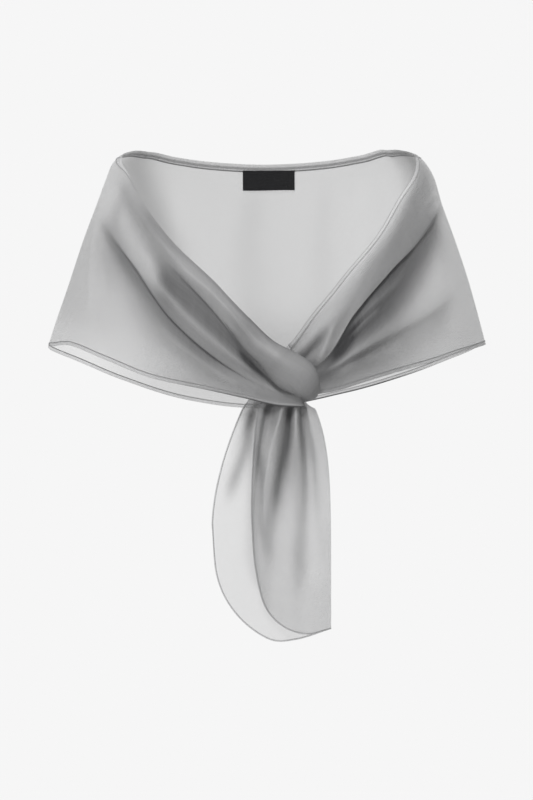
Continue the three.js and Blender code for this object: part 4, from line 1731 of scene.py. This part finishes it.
@dataclass
class Tail:
    """The tail: the strip's right end below the knot, folded lengthwise into two falls.

    Attributes:
        right: the stretch that it goes on from.
        cut: width and length of the cut.
        area: flat area of the cut in square metres.
        thickness: of the cloth.
        depth: how far in front of the shoulder line it hangs.
        neck: height under the hem where it comes into view.
        neck_share: the part of each line that is hidden above it.
        bend: share and half depth of the rounded fold down its right side.
        opening: how much further apart the falls lie at their free edges.
        pinch: the share of that left in the knot.
        back_gather: the share of the gathers that shows in the back fall.
        rows: of points down it.
        front_columns: of points across the front fall.
        bend_columns: of points round half of the bend.
        back_columns: of points across the back fall.
        hem: of its free edge.
        stitches: of the hem.
    """

    FRONT_FALL = (
        Fall(0, -11, -18, -415, 2.2),
        Fall(0.2, 1, -14, -470, 2.2),
        Fall(0.4, 14, -3, -515, 2.2),
        Fall(0.6, 28, 17, -538, 2.4),
        Fall(0.8, 42, 44, -547, 3),
        Fall(1, 54, 71.5, -541, 6),
    )
    BACK_FALL = (
        Fall(0, 54, 71.5, -541, 6),
        Fall(0.2, 34, 34, -553, 3),
        Fall(0.4, 16, 2, -553, 2.2),
        Fall(0.6, 0, -34, -526, 2),
        Fall(0.8, -14, -56, -485, 1.8),
        Fall(1, -28, -62, -425, 1.7),
    )
    # Gathers: place on the front fall at the neck and at the hem, half width, how far each
    # stands out at the neck, and the share of it left at the hem.
    GATHERS = (
        (0.2, 0.16, 0.06, -4, 0.05),
        (0.44, 0.34, 0.07, 4.5, 0.25),
        (0.57, 0.48, 0.06, -4.5, 0.3),
        (0.68, 0.67, 0.06, 4, 0.3),
        (0.775, 0.77, 0.06, -4, 0.35),
        (0.88, 0.86, 0.08, 3, 0.4),
    )
    # Painted shade in troughs and down the free edge, painted highlights on ridges, and in the
    # last two the painted shadow under the knot's hem.
    FRONT_CREASES = (
        Crease(
            ((0.2, 0.08, 5), (0.17, 0.2, 5), (0.16, 0.32, 4.5), (0.18, 0.45, 4), (0.24, 0.6, 4)),
            rise=-1.0, shade=0.14, fade=0.3,
        ),
        Crease(
            ((0.2, 0.36, 8), (0.25, 0.455, 9.5), (0.3, 0.54, 11), (0.34, 0.62, 11.5),
             (0.37, 0.7, 11), (0.405, 0.77, 10), (0.46, 0.84, 8)),
            rise=-0.6, shade=0.22, fade=0.65,
        ),
        Crease(
            ((0.49, 0.08, 2.4), (0.43, 0.2, 2.2), (0.37, 0.31, 2), (0.345, 0.43, 1.8),
             (0.34, 0.53, 1.7), (0.365, 0.63, 1.6), (0.43, 0.72, 1.6)),
            rise=1.2, shade=-0.14, fade=0.6,
        ),
        Crease(
            ((0.55, 0.08, 3), (0.565, 0.18, 4), (0.58, 0.25, 4.5), (0.57, 0.32, 5),
             (0.535, 0.4, 5.5), (0.505, 0.49, 5.5), (0.495, 0.58, 5.5), (0.46, 0.72, 6)),
            rise=-1.5, shade=0.34, fade=0.7,
        ),
        Crease(
            ((0.62, 0.08, 2), (0.67, 0.2, 2), (0.715, 0.3, 2.2), (0.73, 0.42, 2.8),
             (0.69, 0.56, 5), (0.64, 0.72, 6)),
            rise=1.2, shade=-0.14, fade=0.5,
        ),
        Crease(
            ((0.69, 0.08, 2.6), (0.74, 0.2, 2.5), (0.78, 0.32, 2.5), (0.79, 0.46, 3),
             (0.78, 0.6, 4.5), (0.765, 0.72, 6), (0.755, 0.9, 6)),
            rise=-1.0, shade=0.21, fade=0.85,
        ),
        Crease(
            ((0.82, 0.26, 2.5), (0.835, 0.36, 3.2), (0.845, 0.46, 3.6), (0.843, 0.54, 4),
             (0.845, 0.62, 5), (0.86, 0.7, 7), (0.885, 0.78, 9), (0.9, 0.87, 9)),
            rise=1.2, shade=-0.15, fade=0.85,
        ),
        Crease(
            ((0.8, 0.1, 1.4), (0.835, 0.18, 1.6), (0.868, 0.25, 1.8), (0.875, 0.34, 1.8),
             (0.885, 0.45, 1.8), (0.9, 0.55, 2), (0.925, 0.68, 2.4)),
            rise=-0.8, shade=0.12, fade=0.5,
        ),
        Crease(
            ((0.91, 0.1, 4), (0.935, 0.24, 6), (0.95, 0.38, 6.5), (0.965, 0.52, 6), (0.98, 0.7, 4)),
            rise=0.6, shade=-0.16,
        ),
        Crease(
            ((0.04, 0.28, 9), (0.05, 0.45, 14), (0.07, 0.65, 18), (0.12, 0.82, 19),
             (0.2, 0.95, 18), (0.35, 1.05, 14), (0.5, 1.1, 9)),
            rise=0, shade=0.22,
        ),
        Crease(
            ((0.22, 0.1, 9), (0.27, 0.16, 9), (0.33, 0.22, 7), (0.35, 0.28, 4)),
            rise=0, shade=0.16, fade=0.6,
        ),
        Crease(((0.1, 0.16, 6), (0.3, 0.17, 7), (0.5, 0.17, 7), (0.8, 0.16, 6)), rise=0, shade=0.1),
    )
    # Painted shade in the streaks, a painted shadow beside the front fall's edge, and a painted
    # highlight.
    BACK_CREASES = (
        Crease(
            ((0.83, 0.1, 6), (0.8, 0.18, 7), (0.77, 0.25, 7), (0.735, 0.335, 6.5),
             (0.74, 0.42, 6), (0.78, 0.54, 5.5), (0.84, 0.66, 5)),
            rise=-1.0, shade=0.28, fade=0.75,
        ),
        Crease(
            ((0.84, 0.08, 8), (0.82, 0.17, 8), (0.78, 0.25, 7), (0.75, 0.33, 6)),
            rise=0, shade=0.16, fade=0.5,
        ),
        Crease(
            ((0.73, 0.2, 3), (0.68, 0.3, 3.5), (0.605, 0.41, 3.5), (0.56, 0.525, 3.5),
             (0.532, 0.63, 3.5), (0.515, 0.74, 3.5), (0.485, 0.81, 3), (0.43, 0.86, 2.5)),
            rise=0, shade=0.1,
        ),
        Crease(
            ((0.93, 0.2, 3), (0.92, 0.3, 4), (0.93, 0.42, 5), (0.95, 0.58, 5)),
            rise=1.0, shade=-0.08,
        ),
    )
    # Sheer pleat down the right side: its edge at the neck and further down, how far down the
    # edge moves, the width of the change, and the share of the gathered look that it loses.
    PLEAT_EDGE = (0.81, 0.88)
    PLEAT_DOWN = (0.12, 0.35)
    PLEAT_WIDTH = 0.06
    PLEAT_SHEER = 0.9
    # Where the gathered look ends, how much cover it adds to front and back fall, and the
    # shade of each, painted lighter where it hangs free and darker where gathered under the knot.
    UNGATHERS = (0.2, 0.65)
    GATHERED_COVER = (0.6, 0.2)
    FRONT_SHADE = (0.36, 0.58)
    BACK_SHADE = (0.3, 0.4)
    # Space to the right stretch, and flat size of one fall.
    SEAM_GAP = 0.9
    FLAT_WIDTH = 80.0
    FLAT_LENGTH = 260.0

    right: Front
    cut: tuple[float, float] = (0.26, 0.33)
    area: float = 0.062
    thickness: float = 0.45
    depth: float = 143
    neck: float = -295
    neck_share: float = 0.16
    bend: tuple[float, float] = (0.17, 3.4)
    opening: float = 9
    pinch: float = 0.7
    back_gather: float = 0.2
    rows: int = 121
    front_columns: int = 101
    bend_columns: int = 10
    back_columns: int = 60
    hem: Hem = Hem(
        width=1.8, thickness=0.8, bands=((-1, 0.1, 0.5), (0, 0.1, 0.4), (1, 0.3, 0.6))
    )
    stitches: Stitches = Stitches(length=2.0)

    def flat(self, share: Array, down: Array) -> Array:
        """Returns places on one flat fall in millimetres."""
        share, down = np.broadcast_arrays(share, down)
        return np.stack([share * self.FLAT_WIDTH, down * self.FLAT_LENGTH], axis=-1)

    def gather(self, share: Array, down: Array) -> Array:
        """Returns the height of the gathers: a bell round each one's line, which runs from its
        place at the neck to its place at the hem and sinks on the way."""
        rise = np.zeros(np.broadcast_shapes(share.shape, down.shape))
        for neck, hem, width, height, left in self.GATHERS:
            x = (share - mix(neck, hem, down)) / width
            rise = rise + height * mix(1, left, down) * np.exp(-x * x)
        return rise

    def fall(self, lines: Sequence[Fall], share: Array, apart: Array, side: int) -> Array:
        """Gives the grid of one fall: each line of cloth starts at the end of the right stretch,
        goes down behind the hem to the neck, and spreads from there to the round end.

        Args:
            lines: the fall's table.
            share: places across the fall, from its table's start.
            apart: how far each line lies from the middle of the folded tail.
            side: -1 for the front fall and 1 for the back one.

        Returns:
            Points in millimetres, with one row for each step down.
        """
        down = np.linspace(0, 1, self.rows)[:, None]
        share = share[None]
        apart = apart[None]
        place = share if side < 0 else 1 - share
        curves = {n: column_curve(lines, "share", n) for n in ("neck_x", "x", "z", "spread_out")}
        end = self.right.points(np.ones_like(place), place)
        ahead = unit(end - self.right.points(np.full_like(place, 0.99), place))
        start = end + ahead * self.SEAM_GAP
        hidden = np.clip(down / self.neck_share, 0, 1)
        shown = np.clip((down - self.neck_share) / (1 - self.neck_share), 0, 1)
        neck_x = curves["neck_x"](share)
        out = 1 - (1 - shown) ** curves["spread_out"](share)
        x = np.where(
            shown > 0,
            mix(neck_x, curves["x"](share), out),
            mix(start[..., 0], neck_x, hidden ** mix(1, 3, place)),
        )
        z = np.where(
            shown > 0,
            mix(self.neck, curves["z"](share), shown),
            mix(start[..., 2], self.neck, hidden),
        )
        gather = self.gather(place, shown) * smooth(hidden, 0.3, 1)
        depth = mix(-start[..., 1], self.depth, hidden)
        depth = depth + gather * (1 if side < 0 else self.back_gather)
        creases = self.FRONT_CREASES if side < 0 else self.BACK_CREASES
        depth = depth + crease_rise(creases, self.flat, share, down)
        y = -depth + side * apart * mix(self.pinch, 1, hidden)
        return np.stack(np.broadcast_arrays(x, y, z), axis=-1)

    def grid(self) -> tuple[Array, Array]:
        """Works out the tail from the free edge of the front fall round the bend to the free
        edge of the back fall; the bend is a half circle of the falls' distance.

        Returns:
            Its grid of points, and cover and shade at each.
        """
        share, half = self.bend
        flat = 1 - share
        turn = np.linspace(0, np.pi / 2, self.bend_columns + 1)[1:]
        across = np.linspace(0, 1, self.front_columns)
        front_share = np.concatenate([across * flat, flat + share * np.sin(turn)])
        front_apart = np.concatenate([np.full_like(across, half), half * np.cos(turn)])
        across = np.linspace(0, 1, self.back_columns)[1:]
        back_share = np.concatenate([share * (1 - np.cos(turn)), share + across * flat])
        back_apart = np.concatenate([half * np.sin(turn), half + self.opening * across**2])
        front_grid = self.fall(self.FRONT_FALL, front_share, front_apart, -1)
        back_grid = self.fall(self.BACK_FALL, back_share, back_apart, 1)
        down = np.linspace(0, 1, self.rows)[:, None]
        front = crease_shade(self.FRONT_CREASES, self.flat, front_share[None], down)
        back = crease_shade(self.BACK_CREASES, self.flat, back_share[None], down)
        tones = self.tones(front, back, front_share[None], down)
        return np.concatenate([front_grid, back_grid], axis=1), tones

    def tones(self, front: Array, back: Array, share: Array, down: Array) -> Array:
        """Gives cover and painted shade of both falls: more where they are gathered under the knot,
        apart from the sheer pleat down the right side, and in the creases' painted shade.

        Args:
            front: painted shade and highlights of the front fall's creases.
            back: painted shade and highlights of the back fall's creases.
            share: places across the front fall.
            down: places down the tail.

        Returns:
            Cover and shade, each from 0 to 1, of the front fall and then of the back fall.
        """
        edge = mix(*self.PLEAT_EDGE, smooth(down, *self.PLEAT_DOWN))
        gathered = 1 - smooth(down, *self.UNGATHERS)
        pleated = gathered * (1 - self.PLEAT_SHEER * smooth(share - edge, 0, self.PLEAT_WIDTH))
        gathered = np.broadcast_to(gathered, back.shape)
        more = np.concatenate(
            [self.GATHERED_COVER[0] * pleated, self.GATHERED_COVER[1] * gathered**3], axis=1
        )
        plain = np.concatenate(
            [mix(*self.FRONT_SHADE, pleated), mix(*self.BACK_SHADE, gathered)], axis=1
        )
        bunch_and_painted_shade = np.concatenate([front, back], axis=1)
        cover = more + np.maximum(bunch_and_painted_shade, 0) + Organza.SHEER
        return np.clip(np.stack([cover, plain + bunch_and_painted_shade], axis=-1), 0, 1)

    def build(self, cloth: bpy.types.Material, thread: bpy.types.Material) -> bpy.types.Object:
        """Makes the tail with its hem and stitches.

        Args:
            cloth: the finish of the cloth.
            thread: the finish of the stitches.

        Returns:
            The tail's object.
        """
        points, tones = (values[:, ::-1] for values in self.grid())
        along = arc_lengths(points, 1)
        down = arc_lengths(points, 0)
        uv = np.stack([along, down], axis=-1).reshape(-1, 2) * MM
        surface = Surface(
            points.reshape(-1, 3), grid_quads(grid_index(*along.shape)), uv, tones.reshape(-1, 2)
        )
        piece = surface.make("tail_falls", cloth)
        thicken(piece, self.thickness)
        rim = self.rim(points)
        ones = np.ones(len(rim.path))
        hem = self.hem.surface(rim, ones, ones)
        trims = [hem.make("tail_hem", cloth)]
        seams = Surface.joined(self.hem.seams(rim, self.stitches))
        trims.append(seams.make("tail_stitches", thread))
        report_piece(piece, Slot.ORGANZA, ("tail",))
        for trim in trims:
            report_piece(trim, Slot.ORGANZA)
        return piece

    def rim(self, points: Array) -> Rim:
        """Returns the tail's free edge: down one side, along the round end and up the other."""
        normals = grid_normals(points)
        first = round(self.neck_share * (self.rows - 1)) - 2
        inner = np.concatenate([points[first:-1, 1], points[-2, 1:-1], points[first:, -2][::-1]])
        path, normal = (
            np.concatenate([values[first:-1, 0], values[-1, 1:-1], values[first:, -1][::-1]])
            for values in (points, normals)
        )
        return Rim.of(path, normal, inner)


@dataclass
class Label:
    """The bare woven label inside the back of the neck, sewn on at its two short ends.

    Attributes:
        back: the stretch that it lies on.
        width: of the tape.
        height: of the tape.
        middle: where its centre lies to the side.
        top: height of its upper edge.
        thickness: of the folded tape.
        clear: space from the middle of the cloth to the tape.
        columns: of points across it.
        rows: of points down it.
        stitches: at its short ends.
    """

    back: Back
    width: float = 61
    height: float = 23
    middle: float = 2
    top: float = -16
    thickness: float = 0.9
    clear: float = 0.85
    columns: int = 48
    rows: int = 18
    stitches: Stitches = Stitches(length=1.6, gap=0.7, radius=0.16)

    def build(self, tape: bpy.types.Material, thread: bpy.types.Material) -> bpy.types.Object:
        """Makes the label on the inner face of the back, with its two rows of stitches.

        Args:
            tape: the finish of the label.
            thread: the finish of the stitches.

        Returns:
            The label's object.
        """
        across, down = np.meshgrid(
            np.linspace(-0.5, 0.5, self.columns), np.linspace(0, 1, self.rows)
        )
        x = self.middle + across * self.width
        z = self.top - down * self.height
        points = self.back.inner(x, z, self.clear + self.thickness / 2)
        uv = np.stack([x, z], axis=-1).reshape(-1, 2) * MM
        surface = Surface(
            points.reshape(-1, 3), grid_quads(grid_index(*x.shape)), uv, np.zeros((x.size, 2))
        )
        piece = surface.make("neck_label", tape)
        thicken(piece, self.thickness)
        bevel = piece.modifiers.new("soft_edge", "BEVEL")
        bevel.width = 0.25 * MM
        bevel.segments = 2
        rows = []
        for column in (1, -2):
            line = points[1:-1, column]
            inward = -self.back.hollow.normal(np.full(len(line), -180.0), line[:, 2])
            rows.append(self.stitches.surface(line + inward * self.thickness * 0.5, inward))
        seams = Surface.joined(rows).make("label_stitches", thread)
        report_piece(piece, Slot.LABEL_TAPE, ("label",))
        report_piece(seams, Slot.LABEL_TAPE)
        return piece


@dataclass(frozen=True)
class Lamp:
    """A large soft light: its place, what it points at, its size in metres and its power."""

    name: str
    place: tuple[float, float, float]
    aim: tuple[float, float, float]
    size: float
    watts: float

    def build(self) -> None:
        """Makes the light."""
        light = bpy.data.lights.new(self.name, "AREA")
        light.size = self.size
        light.energy = self.watts
        lamp = bpy.data.objects.new(self.name, light)
        lamp.location = self.place
        sight = Vector(self.aim) - Vector(self.place)
        lamp.rotation_euler = sight.to_track_quat("-Z", "Y").to_euler()
        bpy.context.scene.collection.objects.link(lamp)


@dataclass
class Studio:
    """Pale floor, soft light and the camera.

    Attributes:
        pixel: size of an image pixel at the shoulders, in metres.
        image: width and height of the image.
        centre: image point of the stole's origin.
        distance: of the camera from the shoulders.
        floor_height: of the floor.
        floor_radius: of the floor.
        backdrop: brightness behind the stole.
        ambient: brightness of the light from all round.
        lamps: the soft lights.
    """

    pixel: float = 0.00115
    image: tuple[int, int] = (533, 800)
    centre: tuple[float, float] = (267, 152)
    distance: float = 5.0
    floor_height: float = -1.35
    floor_radius: float = 1.6
    backdrop: float = 0.9217
    ambient: float = 0.42
    lamps: tuple[Lamp, ...] = (
        Lamp("key", (-0.4, -2.1, 2.3), (0, 0, -0.25), 1.2, 62),
        Lamp("fill", (-2.4, -2.0, 0.2), (0, 0, -0.25), 1.4, 14),
        Lamp("top", (0.2, 0.8, 2.4), (0, 0, -0.1), 1.4, 25),
    )

    def build(self) -> None:
        """Makes floor, lights, background and camera, and sets how tones are shown."""
        self.make_floor()
        for lamp in self.lamps:
            lamp.build()
        self.make_world()
        self.make_camera()
        scene = bpy.context.scene
        scene.view_settings.view_transform = "Standard"
        scene.cycles.transparent_max_bounces = 48
        scene.cycles.denoising_input_passes = "RGB"

    def make_floor(self) -> None:
        """Makes a round floor far below the stole: rings of points round its middle."""
        turn = np.linspace(0, 2 * np.pi, 97)
        radius = np.linspace(0.001, self.floor_radius, 9)[:, None] / MM
        x, y = radius * np.cos(turn), radius * np.sin(turn)
        points = np.stack([x, y, np.full_like(x, self.floor_height / MM)], axis=-1)
        flat = points.reshape(-1, 3)
        shader = Shader("pale_paper")
        noise = shader.add("ShaderNodeTexNoise")
        noise.inputs["Scale"].default_value = 6
        colour = shader.coloured(noise.outputs["Fac"], (0.8, 0.8, 0.8), (0.84, 0.84, 0.84))
        shader.link(colour, shader.surface.inputs["Base Color"])
        shader.settle(Roughness=0.9)
        surface = Surface(
            flat, grid_quads(grid_index(*x.shape)), flat[:, :2] * MM, np.zeros((len(flat), 2))
        )
        surface.make("floor", shader.material)

    def make_world(self) -> None:
        """Makes an even background, brighter to the camera than as a light."""
        world = bpy.data.worlds.new("studio")
        world.use_nodes = True
        tree = world.node_tree
        light = tree.nodes["Background"]
        light.inputs["Color"].default_value = (1, 1, 1, 1)
        light.inputs["Strength"].default_value = self.ambient
        seen = tree.nodes.new("ShaderNodeBackground")
        seen.inputs["Color"].default_value = (1, 1, 1, 1)
        seen.inputs["Strength"].default_value = self.backdrop
        path = tree.nodes.new("ShaderNodeLightPath")
        choice = tree.nodes.new("ShaderNodeMixShader")
        tree.links.new(path.outputs["Is Camera Ray"], choice.inputs[0])
        tree.links.new(light.outputs[0], choice.inputs[1])
        tree.links.new(seen.outputs[0], choice.inputs[2])
        tree.links.new(choice.outputs[0], tree.nodes["World Output"].inputs["Surface"])
        bpy.context.scene.world = world

    def make_camera(self) -> None:
        """Makes a level camera straight in front, framed so that a pixel has its known size."""
        data = bpy.data.cameras.new("camera")
        width, height = self.image
        data.lens = data.sensor_width * self.distance / (height * self.pixel)
        camera = bpy.data.objects.new("camera", data)
        x = (width / 2 - self.centre[0]) * self.pixel
        z = (self.centre[1] - height / 2) * self.pixel
        camera.location = (x, -self.distance, z)
        camera.rotation_euler = (np.pi / 2, 0, 0)
        bpy.context.scene.collection.objects.link(camera)
        bpy.context.scene.camera = camera


def main() -> None:
    """Builds the stole over its solids and sets up the studio."""
    logging.basicConfig(level=logging.INFO, format="%(name)s %(message)s")
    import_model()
    organza = Organza().material()
    grey_thread = Thread("grey_thread", (0.2, 0.2, 0.205), (0.34, 0.34, 0.345)).material()
    black_thread = Thread("black_thread", (0.004, 0.004, 0.004), (0.02, 0.02, 0.02)).material()
    wrap = Wrap()
    wrap.build(organza, grey_thread)
    Tail(wrap.right).build(organza, grey_thread)
    Label(wrap.back).build(LabelTape().material(), black_thread)
    Studio().build()
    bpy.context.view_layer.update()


if __name__ == "__main__":
    main()
